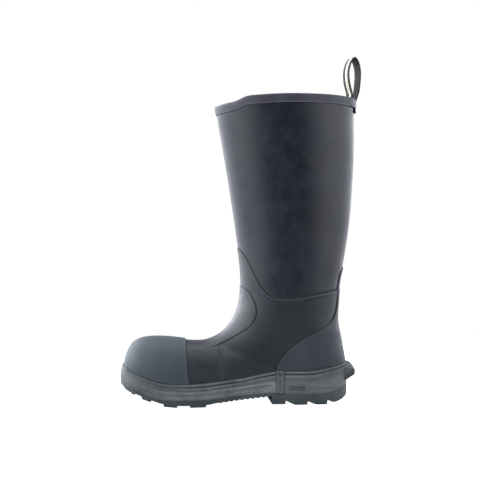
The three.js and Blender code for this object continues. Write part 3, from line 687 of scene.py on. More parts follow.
def foot_piece():
    start = crossing(TURNS, lambda p: above(seam_height, p))
    u = rows_between(start, TIP, [0, 0.12, 0.3, 0.55, 0.9, 1.3, 1.9, 2.6, 3.3, 4.0, 4.6, 5.2, 6, 7.5], 170)
    p = skin(u, TURNS)
    distance = lengths(p, 0)
    edge = SHAFT_RECESS * (rounded(distance, 1.0) - 1)
    wave = unevenness(p) * rise(distance, 6, 20) * fall(p[..., 0], -60, -80)
    outer = raised(u, TURNS, edge + collar(p, distance) + vamp_step(p) + wave)
    inner = raised(u, TURNS, -FOOT_RUBBER)
    ankle = rise(p[..., 0], 8, 30) * fall(p[..., 0], 112, 134)
    # A paler band runs along the collar lip. The dark line at the top edge is a cement line with painted
    # shade in the joint, and the dark line 5 mm down is painted shade under the lip.
    fields = {
        "wear": (0.2 + 0.3 * ankle) * ridge(distance, 2.2, 0.7, 0.6),
        "seam": np.maximum(0.9 * ankle * ridge(distance, 5.0, 0.5, 0.45), fall(distance, 0.4, 0.9)),
    }
    layer("foot_rubber_shell", outer, inner, FOOT_RUBBER_FINISH, "foot_rubber", ["foot_shell"], fields)


def edge_profile(distance, thick, radius):
    """How high a patch stands at a distance in from the outer side of its cement line."""
    film = FILLET_HEIGHT * rounded(distance, 0.3)
    return film + (thick - FILLET_HEIGHT) * rounded(distance - FILLET, radius) * (distance > FILLET)


def edge_fields(distance, radius):
    """A raised patch's dark line round its edge, partly its cement and partly painted shade in the step, and
    its worn top edge.
    """
    wear = 0.14 * ridge(distance, FILLET + radius, 0.6 * radius, 0.8 * radius)
    return {"seam": fall(distance, FILLET + 0.5, FILLET + 1.0), "wear": wear}


def over_bead(p):
    """Which places of a patch are kept: those above the part that the foxing bead hides."""
    return above(foxing_height, p) > -UNDER_BEAD


def toe_overlay_piece():
    start = crossing(TURNS, lambda p: p[..., 0] - toe_edge_x(p[..., 2]) - FILLET, low=10)
    near = [0, 0.1, 0.3, 0.8, FILLET, 1.45, 1.52, 1.65, 1.85, 2.1, 2.5, 3.0, 3.7, 4.7]
    u = rows_between(start, TIP, near, 110)
    p = skin(u, TURNS)
    distance = lengths(p, 0)
    outer = raised(u, TURNS, edge_profile(distance, TOE_OVERLAY, 1.5))
    inner = raised(u, TURNS, -PATCH_SINK)
    fields = edge_fields(distance, 1.5)
    layer("toe_overlay_rubber", outer, inner, TOE_RUBBER, "overlay_rubber", ["toe_overlay"], fields,
          keep=over_bead(p))


def patch_rows(middle, side, rows, start, end, count, **limits):
    """u for a patch's rows, and how far each of them is below the patch's top end."""
    top = crossing(np.array([middle]), side, **limits)[0]
    length = np.linalg.norm(skin(top + 0.1, middle) - skin(top, middle)) / 0.1
    u = np.concatenate([top + np.array(rows) / length, np.linspace(top + start / length, end, count)])
    return u, (u - top) * length


def patch_grid(u, middle, reach, side, ends=1):
    """Places from a patch's middle, both ways, to where side(point) stops being positive."""
    half = 1 - np.concatenate([np.linspace(0, 0.06, 12)[:-1], 0.06 + 0.94 * np.linspace(0, 1, 33) ** 1.35])
    v = np.concatenate([-half, half[::-1][1:]])  # very close at the patch's two edges
    low, high = (
        (way * (turn_crossing(u, side, middle, middle + way * reach) - middle) * ends)[:, None]
        for way in (-1, 1)
    )
    turn = middle + np.where(v < 0, v * low, v * high)
    return np.broadcast_to(u[:, None], turn.shape), turn


def patch(u, turn, thick, radius):
    """A raised patch, rounded along its two long edges: its outer face, its inner one and its fields."""
    p = skin(u, turn)
    across = lengths(p, 1)
    edge = np.minimum(across, across[:, -1:] - across)
    drop = SHAFT_RECESS * rise(above(seam_height, p), -0.5, 2.5)
    outer = raised(u, turn, edge_profile(edge, thick, radius) - drop)
    return outer, raised(u, turn, -PATCH_SINK - drop), edge_fields(edge, radius)


def heel_counter_piece():
    rows = [0, 0.1, 0.3, 0.6, 1.0, 1.4, 1.8, 2.4, 3.2, 4.4, 6, 8, 10, 12.5]
    u, distance = patch_rows(PI, lambda p: p[..., 2] - COUNTER_TOP - FILLET, rows, 15, 16.2, 100, high=10)
    u, turn = patch_grid(
        u, PI, PI - 0.12, lambda p: p[..., 0] - counter_x(p[..., 2]) + FILLET, rounded(distance, 14)
    )
    p = skin(u, turn)
    outer, inner, fields = patch(u, turn, HEEL_OVERLAY, 1.2)
    # The dark cement line and the shade painted along it fade out towards the counter's top.
    fields["seam"] *= 1 - 0.6 * rise(p[..., 2], 126, 150)
    layer("heel_counter_rubber", outer, inner, COUNTER_RUBBER, "overlay_rubber", ["heel_counter"], fields,
          wrap=False, keep=over_bead(p))


def instep_panel_piece():
    def ahead(p):
        return instep_x(p[..., 2]) - p[..., 0] + FILLET

    rows = [0.05, 0.15, 0.3, 0.55, 0.9, 1.3, 1.8, 2.5, 3.5, 5, 7, 9]
    u, _ = patch_rows(0.0, lambda p: -ahead(p), rows, 11, 16.5, 90, low=6, high=9)
    u, turn = patch_grid(u, 0.0, 2.4, ahead)
    fade = fall(skin(u, turn)[..., 0], -22, -58)
    outer, inner, fields = patch(u, turn, 0.1 + (INSTEP_OVERLAY - 0.1) * fade, 1.0)
    # The dark cement line and the shade painted along it fade with the panel towards the toe.
    fields["seam"] *= 0.75 * fade
    layer("instep_panel_rubber", outer, inner, FOOT_RUBBER_FINISH, "foot_rubber", ["instep_panel"], fields,
          wrap=False)


# The binding's section: depth under the skin, drop below the rim, and which way it bulges.
BINDING_SECTION = [
    (0.78, 12.3, -1), (0.66, 12.62, -1), (0.4, 12.7, -1), (0.1, 12.66, -1), (-0.18, 12.45, -1),
    (-0.38, 12.1, -1), (-0.46, 11.5, -1), (-0.5, 10.4, -1), (-0.56, 8, -1), (-0.58, 5.5, -1),
    (-0.55, 3.4, -1), (-0.46, 2.1, -1), (-0.24, 1.1, -1), (0.1, 0.45, -0.9), (0.8, 0.08, -0.7),
    (1.8, -0.08, -0.4), (3.6, -0.12, 0), (5.6, -0.08, 0.4), (6.9, 0.08, 0.7), (7.7, 0.45, 0.9),
    (8.15, 1.1, 1), (8.35, 2.1, 1), (8.45, 3.6, 1), (8.46, 7, 1), (8.4, 11.2, 1), (8.25, 12.1, 1),
    (7.95, 12.5, 1), (7.55, 12.6, 1), (7.28, 12.2, 1), (7.2, 11.4, 1), (7.15, 6, 1), (7.1, 1.8, 1),
    (6.6, 1.3, 0.8), (3.6, 1.25, 0), (1.3, 1.3, -0.8), (0.78, 1.8, -1), (0.76, 7, -1),
]


def binding_piece():
    tail = TAIL_ROOM * fall(np.abs(TURNS - PI), 0.32, 0.6)  # room for the strap's sewn end
    rings = [raised(below_rim(drop), TURNS, -(depth + way * tail)) for depth, drop, way in BINDING_SECTION]
    drops = np.array([drop for _, drop, _ in BINDING_SECTION])
    # A paler line low on the binding's face is a painted highlight, over a faint worn mottling all round;
    # its lower edge and underside are painted shade.
    fields = {
        "wear": np.tile(0.15 + 0.85 * ridge(drops, 11.6, 0.5, 0.5), AROUND),
        "seam": np.tile(rise(drops, 12.45, 12.6), AROUND),
    }
    sections = np.stack(rings, 1)
    piece("rim_binding_tape", *tube(sections, True), BINDING_RUBBER, "shaft_rubber", ["top_binding"],
          fields, 50)


# ---------------- inside the upper


def stiffener_room(p):
    """Room between the foot shell and the sock for the steel cap and the heel stiffener."""
    heel = rise(p[..., 0], 44, 64) * fall(p[..., 2], 104, 128)
    return STIFFENER_ROOM * np.maximum(fall(p[..., 0], -78, -58), heel)


def bootie_pieces():
    """The neoprene sock and the knitted lining bonded inside it."""
    turn = np.arange(112) * 2 * PI / 112
    top = below_rim(UNDER_BINDING, turn)
    u = top + (TIP - top) * np.linspace(0, 1, 130)[:, None]
    p = skin(u, turn)
    outside = FOOT_RUBBER + GAP + stiffener_room(p)
    inside = outside + NEOPRENE
    outer = raised(u, turn, -outside)
    inner = raised(u, turn, -inside)
    sock = layer("neoprene_sock", outer, inner, NEOPRENE_FINISH, "neoprene", ["neoprene_bootie"])
    wrinkle = 0.055 * (1 + np.sin(p[..., 2] / 7 + 2.2 * np.sin(p[..., 0] / 24 + p[..., 1] / 31)))
    outer = raised(u, turn, -(inside + GAP))
    inner = raised(u, turn, -(inside + GAP + LINING - 0.1 + wrinkle))
    across = turn * LEG_RADIUS + 0 * u
    cloth = np.stack([across, lengths(p, 0), 0 * across], -1)
    lining = layer("lining_knit_sock", outer, inner, LINING_FINISH, "lining", ["fabric_lining"], cloth=cloth)


def slice_range(node, xs):
    """The lowest and highest y of a CAD node at each x, in millimetres."""
    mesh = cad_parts[node].data
    co = np.array([v.co for v in mesh.vertices], float) / MM
    ends = co[np.array([e.vertices[:] for e in mesh.edges])]
    run = ends[:, 1] - ends[:, 0]
    slanted = np.abs(run[:, 0]) > 1e-4
    ends, run = ends[slanted], run[slanted]
    found = []
    for x in xs:
        t = (x - ends[:, 0, 0]) / run[:, 0]
        hit = (t >= 0) & (t <= 1)
        y = ends[hit, 0, 1] + t[hit] * run[hit, 1]
        found.append((y.min(), y.max()))
    return np.array(found)


def footbed_piece():
    low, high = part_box("footbed")
    share = (1 - np.cos(np.linspace(0.03, PI - 0.03, 110))) / 2
    xs = low.x / MM + (high.x - low.x) / MM * share
    left, right = slice_range("footbed", xs)[..., None].swapaxes(0, 1)
    y = left + (right - left) * close_at_ends(0, 1, 45)
    x = np.broadcast_to(xs[:, None], y.shape)
    edge = np.minimum(np.minimum(y - left, right - y), np.minimum(x - xs[0], xs[-1] - x))
    crown = 0.3 * np.cos(np.clip((x + 95) / 45, -PI / 2, PI / 2))
    dish = 0.9 * rise(edge, 2, 14) * (1 - rise(x, 120, 60) * 0.3)
    base = floor_height(x) + 2.4
    top = base + 4.6 * (0.35 + 0.65 * rounded(edge, 2.6)) - dish + crown
    outer, inner = (np.stack([x, y, z], -1) for z in (top, base))
    bed = layer("footbed_cushion", outer, inner, FOOTBED_FINISH, "foam", ["footbed"],
                cloth=np.stack([y, x, 0 * x], -1), crease=60, wrap=False)


def cap_pad_piece():
    """The soft strip along the steel cap's rear edge, crowned on the side towards the toes."""
    turn = np.linspace(-2.05, 2.05, 90)
    places = np.linspace(-96.4, -86.2, 12)
    u = np.stack([crossing(turn, lambda p, x=x: p[..., 0] - x, low=10) for x in places])
    across = np.linspace(-1, 1, 12)[:, None]
    bulge = 0.25 + 1.0 * np.sqrt(np.maximum(1 - across**2, 0))
    outer = raised(u, turn, -(FOOT_RUBBER + GAP))
    inner = raised(u, turn, -(FOOT_RUBBER + GAP + bulge + 0 * u))
    pad = layer("steel_cap_edge_cushion", outer, inner, PAD_FINISH, "foam", ["cap_edge_pad"], crease=70,
                wrap=False, keep=skin(u, turn)[..., 2] > 36)


# ---------------- the sole's sides

OUTLINE_CURVE = spline(OUTLINE, 20, closed=True)
OUTLINE_ALONG = unit(np.roll(OUTLINE_CURVE, -1, 0) - np.roll(OUTLINE_CURVE, 1, 0))
OUTLINE_OUT = np.stack([OUTLINE_ALONG[:, 1], -OUTLINE_ALONG[:, 0]], -1)
OUTLINE_LENGTH = lengths(OUTLINE_CURVE, 0)


def bumper_lean(x, z):
    """How far the toe bumper leans in towards its top and its bottom."""
    high = np.clip((z - 39) / 15, 0, 1)
    low = np.clip((34 - z) / 14, 0, 1)
    return fall(x, -150, -112) * (2.4 * high**2 + 3 * low**2)


def on_outline(offset, height, stations=slice(None)):
    """Points at an offset from the outline, at a height that is a function of x."""
    curve = OUTLINE_CURVE[stations]
    flat = curve + OUTLINE_OUT[stations] * (offset + 0 * curve[:, 0])[:, None]
    return np.concatenate([flat, height(flat[:, 0])[:, None]], -1)


def waist(x):
    """1 along the sole's sides and 0 round the toe and the back of the heel."""
    return (rise(x, -98, -84) * fall(x, 100, 116))[:, None]


def bead_height(x):
    return BEAD_HEIGHT * (0.55 + 0.45 * rise(x, -160, -120))


def wall_low(x):
    return outsole_top(x) + 0.15


def wall_high(x):
    return foxing_height(x) - bead_height(x) - 0.25


def wall_at(share):
    """The height at a share of the way up the sidewall, as a function of x."""
    return lambda x: wall_low(x) + (wall_high(x) - wall_low(x)) * share


def wall_offset(x, share, along):
    """The sidewall's relief: a rounded top, an undercut behind the toe, lines and a serrated band."""
    low, high = wall_low(x), wall_high(x)
    height = (high - low) * share
    z = low + height
    arch = rise(x, -118, -92) * fall(x, 24, 46)
    top = -0.9 * (1 - rounded(high - z, 0.9))
    undercut = -2.1 * fall(share, 0.42, 0.5) * arch
    lip = 1.5 * fall(height, 1.0, 2.0) * arch
    heel_line = -0.8 * ridge(z, 21.9 + 0.25 * np.maximum(x - 134, 0), 0.3, 0.4) * rise(x, 96, 108)
    heel_cut = -0.4 * fall(z, 21, 22) * rise(x, 58, 70)
    band = ridge(height, 3.4, 0.9, 0.5) * fall(x, 20, 40) * rise(x, -160, -140)
    serration = 0.65 * zigzag(along, 4.2) * band
    groove = -0.6 * ridge(height, 5.2, 0.2, 0.4) * fall(x, -30, 0)
    return top + undercut + lip + heel_line + heel_cut + serration + groove - bumper_lean(x, z)


def sidewall_piece(name, stations, node):
    shares = [np.linspace(0, 0.56, 44), np.linspace(0.59, 0.83, 7), 1 - 0.16 * np.linspace(1, 0, 10) ** 2]
    shares = np.concatenate([[0], *shares, [1]])
    x = OUTLINE_CURVE[stations, 0]
    rows = []
    for share in shares[1:-1]:
        offset = wall_offset(x, share, OUTLINE_LENGTH[stations])
        rows.append(on_outline(offset, wall_at(share), stations))
    low, high = (on_outline(-SIDEWALL_THICK, height, stations) for height in (wall_low, wall_high))
    from_top = (1 - shares) * (wall_high(x) - wall_low(x))[:, None]
    # pale sets a paler band across the lower middle of the wall, strongest from the arch back to the clip.
    # The narrow paler band just under the wall's top is a painted highlight, and the dark strip at its very
    # top is painted shade in the groove under the bead.
    pale = (0.15 + 0.85 * rise(x, -128, -84) - 0.75 * rise(x, 48, 60))[:, None]
    fields = {
        "wear": 0.5 * ridge(shares, 0.9, 0.03, 0.05) * waist(x) + pale * ridge(shares, 0.36, 0.22, 0.14),
        "seam": fall(from_top, 0.25, 0.6) * waist(x),
    }
    sections = np.stack([low, *rows, high], 1)
    piece(name, *tube(sections, False), SOLE_RUBBER, "sole_rubber", [node], fields, 50)


def sidewall_pieces():
    x = OUTLINE_CURVE[:, 0]
    count = len(x)
    order = (np.arange(count) + int(np.argmin(x)) + count // 2) % count  # starts and ends at the heel
    behind = x[order] > SIDEWALL_JOINT
    ahead = order[~behind]
    first = int(np.argmax(~behind))
    rear = np.concatenate([order[first + len(ahead):], order[:first]])
    sidewall_piece("front_sidewall_rubber", ahead, "front_sidewall")
    sidewall_piece("heel_sidewall_rubber", rear, "heel_sidewall")


def room_to_skin(height):
    """How far inside the outline the upper's face is, at each place, at a height given by x."""
    turn = np.linspace(-3.0, 3.0, 900)
    edge = skin(crossing(turn, lambda p: above(height, p)), turn)[:, :2]
    found = []
    for point, out in zip(OUTLINE_CURVE, OUTLINE_OUT):
        away = edge - point
        ahead = -(away @ out)
        aside = np.abs(away @ np.array([-out[1], out[0]]))
        near = (ahead > -4) & (ahead < 30)
        found.append(ahead[near][np.argmin(aside[near])])
    return np.stack([np.roll(found, k) for k in range(-3, 4)]).mean(0)


# The bead's outer side: how far up it each row is, and its offset from the sole's outline.
BEAD_PROFILE = [
    (0, -1.9), (0.03, -1.2), (0.1, -0.75), (0.22, -0.42), (0.4, -0.3), (0.58, -0.38), (0.74, -0.62),
    (0.86, -1.0), (0.94, -1.5), (0.985, -2.1), (1.0, -2.8),
]
BEAD_UNDERLAP = 2.8


def foxing_bead_piece():
    x = OUTLINE_CURVE[:, 0]
    room = room_to_skin(foxing_height)
    front = fall(x, -112, -88)
    face = TOE_OVERLAY * fall(x, -76, -71) - room  # the upper's face, as an offset

    def at(share):
        return lambda v: foxing_height(v) - bead_height(v) * (1 - share)

    rows = []
    for share, offset in BEAD_PROFILE:
        flush = offset + front * (0.55 * (1 - share) * (offset < -0.5))
        proud = face + 1.1 * math.sqrt(1 - share) - 0.3
        rows.append(on_outline(np.maximum(flush - bumper_lean(x, at(share)(x)), proud), at(share)))
    inner = -np.maximum(room + 0.8, 3.2)
    half_in = 0.35 * inner - 0.65 * BEAD_UNDERLAP - 0.2 - bumper_lean(x, foxing_height(x)) * 0.5
    for offset, share in ((half_in, 0.97), (inner, 0.93), (np.minimum(inner, -4.0), 0)):
        rows.append(on_outline(offset, at(share)))
    share = np.array([s for s, _ in BEAD_PROFILE] + [1, 1, 0])
    # The bead's top is darkened as painted shade where it tucks under the upper, broader at the toe, and its
    # lowest edge as painted shade in the groove below it; a paler band runs along its middle.
    top = rise(share + 0.22 * front[:, None], 0.72, 0.9)  # its dark top edge, broader at the toe
    fields = {
        "wear": 0.2 * ridge(share, 0.45, 0.15, 0.2) * waist(x),
        "seam": np.maximum(top, fall(share, 0.02, 0.08) * waist(x)),
    }
    sections = np.stack(rows, 1)
    piece("foxing_bead_strip", *tube(sections, True), SOLE_RUBBER, "foot_rubber", ["foxing_bead"],
          fields, 60)


def side_stations(side, xs):
    """The outline's points and outward directions at each x, on one side of the boot."""
    half = OUTLINE_OUT[:, 1] * side > 0
    x, order = np.sort(OUTLINE_CURVE[half, 0]), np.argsort(OUTLINE_CURVE[half, 0])
    y, out_x, out_y = (
        np.interp(xs, x, values[half][order]) for values in (OUTLINE_CURVE[:, 1], *OUTLINE_OUT.T)
    )
    return np.stack([xs, y], -1), unit(np.stack([out_x, out_y], -1))


def side_block(name, side, xs, low, high, relief, seam, replaced, crease):
    """A block on the sole's side, between heights low and high, relief(x, height, distance in) high."""
    flat, out = side_stations(side, xs)
    shares = close_at_ends(0, 1, 40)[:, None]
    up = shares * float(np.mean(high - low)) + 0 * xs
    x = np.broadcast_to(xs, up.shape)
    distance = np.minimum(np.minimum(up, up[-1] - up), np.minimum(x - xs[0], xs[-1] - x))
    offset = relief(x, up, distance)
    z = (low + (high - low) * shares)[..., None]
    outer = np.concatenate([flat + out * offset[..., None], z], -1)
    inner = np.concatenate([flat - out * SIDE_BLOCK_DEPTH + 0 * z, z], -1)
    # The edge line is a joint line with painted shade round the block, and deep paints fainter shade into
    # its window, its slot and the panel between its diamonds.
    deep = rise(offset.max() - offset, 0.15, 0.6) * rise(distance, 0.8, 1.1)
    fields = {
        "wear": 0.4 * ridge(distance, 1.2, 0.3, 0.4),
        "seam": seam * np.maximum(fall(distance, 0.35, 0.7), 0.4 * deep),
    }
    layer(name, outer, inner, SOLE_RUBBER, "sole_rubber", replaced, fields, crease=crease, wrap=False)


def clip_piece(name, side, node):
    """The upright block where the two sidewalls meet, with a window near its top and a slot below."""
    xs = close_at_ends(CLIP_FRONT, CLIP_BACK, 34)

    def relief(x, up, distance):
        tall = up.max()
        from_middle = x - (CLIP_FRONT + CLIP_BACK) / 2
        window = ridge(up, tall * 0.82, 1.5, 0.5) * ridge(from_middle, 0, 2.0, 0.5)
        slot = ridge(up, tall * 0.36, tall * 0.22, 0.5) * ridge(from_middle, 0, 1.0, 0.5)
        return 1.55 * rounded(distance, 0.8) + 0.3 - 1.0 * window - 0.4 * slot

    side_block(name, side, xs, outsole_top(xs) + 0.3, foxing_height(xs) + 0.2, relief, 1.0, [node], 50)


def grip_piece(name, side):
    """The knurled field on the heel's side: small diamonds standing on a shallow panel."""

    def relief(x, up, distance):
        a, b = (rise(zigzag(x + slope * up, 3.0), 0.1, 0.6) for slope in (1.5, -1.5))
        return -0.35 + 0.4 * rounded(distance, 0.5) + 0.7 * np.minimum(a, b) * rise(distance, 0.3, 0.8)

    xs = close_at_ends(64.0, 88.0, 110)
    side_block(name, side, xs, 20.0 + 0 * xs, 27.6 + 0 * xs, relief, 0.8, (), 60)


# The kick lug's side outline, from its top front corner round the back to its bottom front corner.
LUG_PROFILE = [
    (134, 57), (147, 56.8), (151.6, 56.2), (154.8, 54.8), (157, 52.6), (158.4, 50), (159, 47.6), (159.3, 46),
    (159.4, 43), (159.3, 40.2), (158.9, 39), (157.9, 38.1), (152.5, 34.6), (148.2, 31.8), (147, 31.1),
    (145.6, 30.8), (134, 30.8),
]
LUG_SHOULDER = 47  # the height of the sharp edge between the lug's side and its domed top
LUG_FRONT, LUG_MIDDLE = 134, 44  # the x and the height that its rounded ends draw in towards


def kick_lug_piece():
    y = close_at_ends(-LUG_HALF_WIDTH, LUG_HALF_WIDTH, 70)
    edge = rounded(LUG_HALF_WIDTH - np.abs(y), 0.7)
    dome = 1 - 0.96 * np.abs(y / LUG_HALF_WIDTH) ** 2.2
    rows = []
    for x, z in LUG_PROFILE:
        height = np.where(z > LUG_SHOULDER, LUG_SHOULDER + (z - LUG_SHOULDER) * dome, z)
        back = LUG_FRONT + (x - LUG_FRONT) * (0.975 + 0.025 * edge)
        rows.append(np.stack([back, y, LUG_MIDDLE + (height - LUG_MIDDLE) * (0.96 + 0.04 * edge)], -1))
    heights = np.array([z for _, z in LUG_PROFILE])
    # Its domed top is paler: worn by use, and also a painted highlight on the face that looks up.
    fields = {"wear": np.tile(0.8 * rise(heights, LUG_SHOULDER - 1, LUG_SHOULDER + 3), len(y))}
    sections = np.stack(rows, 1)
    piece("kick_off_lug_block", *tube(sections, False), TREAD_RUBBER, "sole_rubber", ["kick_off_lug"],
          fields, 25)


# ---------------- outsole

# Tread rows of the forefoot: front x, back x, and the height of the row's foot at each of them.
FOREFOOT_ROWS = [
    (-150.5, -145.5, 17.2, 16), (-136.4, -123.5, 11, 7.2), (-106.8, -88.5, 1.6, 0), (-71.5, -49.5, 0, 0),
]
# The heel's underside: (x, z), with each steep wall as two close points.
HEEL_LINE = [
    (40.9, 12.6), (41.5, 1.1), (59.4, 1.1), (60.1, 5.8), (62, 5.1), (66.5, 2.8), (70, 1.2), (73.5, 0),
    (89.8, 0), (90.4, 4.8), (92, 4.2), (97, 2.1), (100.5, 0.8), (103.5, 0), (117.4, 0), (118.1, 5.8),
    (120, 5.1), (122.6, 3.9), (125.7, 2.8), (128.8, 2.4), (132, 3), (135, 3.9), (141.4, 6.2),
    (145.5, 8.4), (148.5, 11), (151, 14.5),
]


def tread_height(x):
    """The underside of the outsole along its length, at its tread blocks."""
    z = sole_bottom(x)
    for front, back, front_foot, back_foot in FOREFOOT_ROWS:
        foot = front_foot + (back_foot - front_foot) * (x - front) / (back - front)
        wall = ridge(x, (front + back) / 2, (back - front) / 2 - 0.5, 0.9)
        z = z + (np.minimum(foot, z) - z) * wall
    return np.where(x > HEEL_BREAST, np.interp(x, *np.array(HEEL_LINE).T), z)


def tread_groove(x, y):
    """1 on the blocks and 0 in the grooves that run along the tread."""
    middle = 3.5 * (2 * zigzag(x + 165, 34) - 1)
    forefoot = rise(np.minimum(np.abs(y - 17 - middle), np.abs(y + 17 - middle)), 1.9, 2.9)
    heel = 1 - fall(np.abs(y), 3.4, 4.4) * fall(x, 108, 120)
    return np.where(x > HEEL_BREAST, heel, forefoot)


def outsole_stations():
    """The x of each row of the outsole's mesh, close at the walls of its blocks and over its serrations."""
    walls = [v for row in FOREFOOT_ROWS for v in row[:2]]
    near = [w + d for w in walls for d in (-1.4, -0.9, -0.4, 0, 0.4, 0.9)]
    near += [x for x, _ in HEEL_LINE] + [41.2, 59.7, 90.1, 117.7]
    low, high = OUTLINE_CURVE[:, 0].min() + 0.05, OUTLINE_CURVE[:, 0].max() - 0.05
    even = low + (high - low) * (1 - np.cos(np.linspace(0, PI, 190))) / 2
    xs = np.unique(np.round(np.concatenate([even, near, np.arange(-34, 40, 1.2)]), 2))
    xs = xs[(xs >= low) & (xs <= high)]
    return xs[np.concatenate([[True], np.diff(xs) > 0.12])]


def outsole_piece():
    xs = outsole_stations()
    low, high = (side_stations(side, xs)[0][:, 1:] - 0.3 * side for side in (-1, 1))
    left_edge, right_edge = [0, 0.004, 0.012, 0.025], [0.975, 0.988, 0.996, 1]
    y = low + (high - low) * np.concatenate([left_edge, np.linspace(0.045, 0.955, 66), right_edge])
    x = np.broadcast_to(xs[:, None], y.shape)
    foot = tread_height(x)
    root = np.where(x > HEEL_BREAST, np.maximum(foot, 5.2), sole_bottom(x))
    z = root + (foot - root) * tread_groove(x, y)
    edge = np.minimum(y - low, high - y)
    z = z + 0.8 * (1 - rounded(edge, 0.9))
    rim = ridge(edge, 3.0, 3.0, 1.0) * rise(x, -34, -28) * fall(x, 34, 40)
    z = z - 1.1 * rim * rise(zigzag(x, 7.4) / 2, 0.12, 0.3)
    outer, inner = (np.stack([x, y, height], -1) for height in (z, np.maximum(outsole_top(x), z + 0.5)))
    fields = {"wear": 0.5 * (foot - z > -0.2) * tread_groove(x, y)}
    layer("outsole_tread", outer, inner, TREAD_RUBBER, "sole_rubber", ["outsole"], fields,
          crease=35, wrap=False)


# ---------------- the pull strap

# The strap's centre line seen from the side: from inside the shaft, round the loop, to its free end.
STRAP_LINE = [
    (154, 408), (154, 414), (154.2, 420), (154.9, 425), (155.3, 429.5), (154, 434.5),
    (152.2, 439.5), (150.6, 446), (149.6, 453), (149.4, 461), (150.9, 469.5), (154.1, 477.3),
    (158.8, 482.1), (163.4, 477.6), (166.3, 469), (167.2, 460), (166.8, 450.5), (165.9, 441.5),
    (164.9, 433.6), (164, 427), (163, 421), (162.5, 415), (162.4, 409.5), (162.8, 406.6), (163.3, 404.6),
]


def strap_piece():
    line = spline(STRAP_LINE, 9)
    middle = np.stack([line[:, 0], 0 * line[:, 0], line[:, 1]], -1)
    along = unit(np.gradient(middle, axis=0))
    out = np.stack([-along[:, 2], 0 * along[:, 0], along[:, 0]], -1)
    v = close_at_ends(-1, 1, 25)
    thick = STRAP_THICK / 2 * (0.45 + 0.55 * rounded((1 - np.abs(v)) * STRAP_WIDTH / 2, 0.9))
    across = np.concatenate([v, v[::-1]]) * STRAP_WIDTH / 2
    lift = np.concatenate([thick, -thick[::-1]])
    local = middle[:, None] + out[:, None] * lift[:, None] + np.array([0, 1.0, 0]) * across[:, None]
    turn = STRAP_TWIST * rise(local[..., 2], 412, 430)
    hug = fall(local[..., 2], 422, 438) * local[..., 1] ** 2 / STRAP_HUG
    x, y, z = np.moveaxis(local - np.array(LOOP_PIVOT), -1, 0)
    x = x - hug
    turned = np.stack([x * np.cos(turn) - y * np.sin(turn), x * np.sin(turn) + y * np.cos(turn), z], -1)
    sections = turned + np.array(LOOP_PIVOT)
    travelled = lengths(middle, 0)[:, None] + 0 * across
    cloth = np.stack([across + 0 * travelled, travelled, np.repeat([0, 1], 25) + 0 * travelled], -1)
    strap = piece("pull_strap_webbing", *tube(sections, False), WEBBING_FINISH, "webbing",
                  ["pull_loop", "outer_strap_tail", "inner_strap_tail"], {"cloth": cloth}, 60, None)
    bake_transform(strap)


# ---------------- making it all

shaft_piece()
foot_piece()
toe_overlay_piece()
heel_counter_piece()
instep_panel_piece()
binding_piece()
bootie_pieces()
footbed_piece()
cap_pad_piece()
sidewall_pieces()
foxing_bead_piece()
clip_piece("inner_clip_rubber", -1, "inner_side_clip")
clip_piece("outer_clip_rubber", 1, "outer_side_clip")
grip_piece("inner_heel_grip", -1)
grip_piece("outer_heel_grip", 1)
kick_lug_piece()
outsole_piece()
strap_piece()

for node, material in {
    "midsole": FOAM_FINISH,
    "steel_shank": STEEL_FINISH,
    "insole_board": BOARD_FINISH,
    "steel_toe_cap": STEEL_FINISH,
    "heel_stiffener": STIFFENER_FINISH,
}.items():
    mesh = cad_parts[node].data
    mesh.materials.clear()
    mesh.materials.append(material)

# ---------------- studio

FLOOR_RADIUS = 0.9
FLOOR_SIDES = 72
FLOOR_GLOW = 1.1

# The studio's light by direction. Each of these has its start and end in degrees from the front and
# its brightness; the ones beside the boot also have the share of it that is left near the floor.
DARK_FRONT = 0.12
FRONT_CENTRE = math.radians(1.5)
SOFTBOXES = (14, 44, 1.9)
LEFT_BOX = (28, 56, 2.2, 0.0)
LEFT_WALL = (60, 100, 2.4, 0.8)
RIGHT_WALL = (66, 104, 1.0, 0.7)
BACK_GAP = (136, 170, 0.12)  # the share of the light that is left behind the boot
# And these go by the height of the direction: start and end, and the light or the share at each.
SIDE_RISE = (-0.03, 0.11)
WALL_RISE = (-0.15, 0.15, 0.76, 1.24)
HIGH_FALL = (0.3, 0.6, 1.0, 0.7)
CEILING = (0.7, 0.97)
CEILING_LIGHT = 1.3
LIGHT_TINT = (0.95, 0.98, 1.05, 1)
WHITE = (1, 1, 1, 1)

TOP_LIGHT_PLACE = (-0.1, 0.1, 1.6)
TOP_LIGHT_TARGET = (0, 0, 0.1)
TOP_LIGHT_SIZE = (1.4, 1.2)
TOP_LIGHT_POWER = 8
CAMERA_LENS = 83
CAMERA_SENSOR = 36
CAMERA_DISTANCE = 1.55
CAMERA_TURN = math.radians(4)
CAMERA_HEIGHT = 0.226


def make_floor():
    """A pale round of floor paper under the boot, which shows white to the camera."""
    mesh = bpy.data.meshes.new("studio_floor")
    angles = [k * 2 * PI / FLOOR_SIDES for k in range(FLOOR_SIDES)]
    ring = [(FLOOR_RADIUS * math.cos(a), FLOOR_RADIUS * math.sin(a), 0) for a in angles]
    mesh.from_pydata(ring, [], [tuple(range(FLOOR_SIDES))])
    s = Shader("floor_paper")
    mottled = s.noise(8)
    color = s.blend(mottled, (158, 159, 160), (164, 164, 164))
    normal = s.bump(s.noise(300), 0.0001, 0.2)
    mesh.materials.append(s.finish(color, s.ramp(mottled, 0.3, 0.7, 0.9, 1.0), normal, specular=0.0))
    s.surface["Emission Color"].default_value = WHITE
    glow = s.node("LightPath").outputs["Is Camera Ray"]
    s.plug(s.surface["Emission Strength"], s.times(glow, FLOOR_GLOW))
    place_object("studio_floor", mesh)


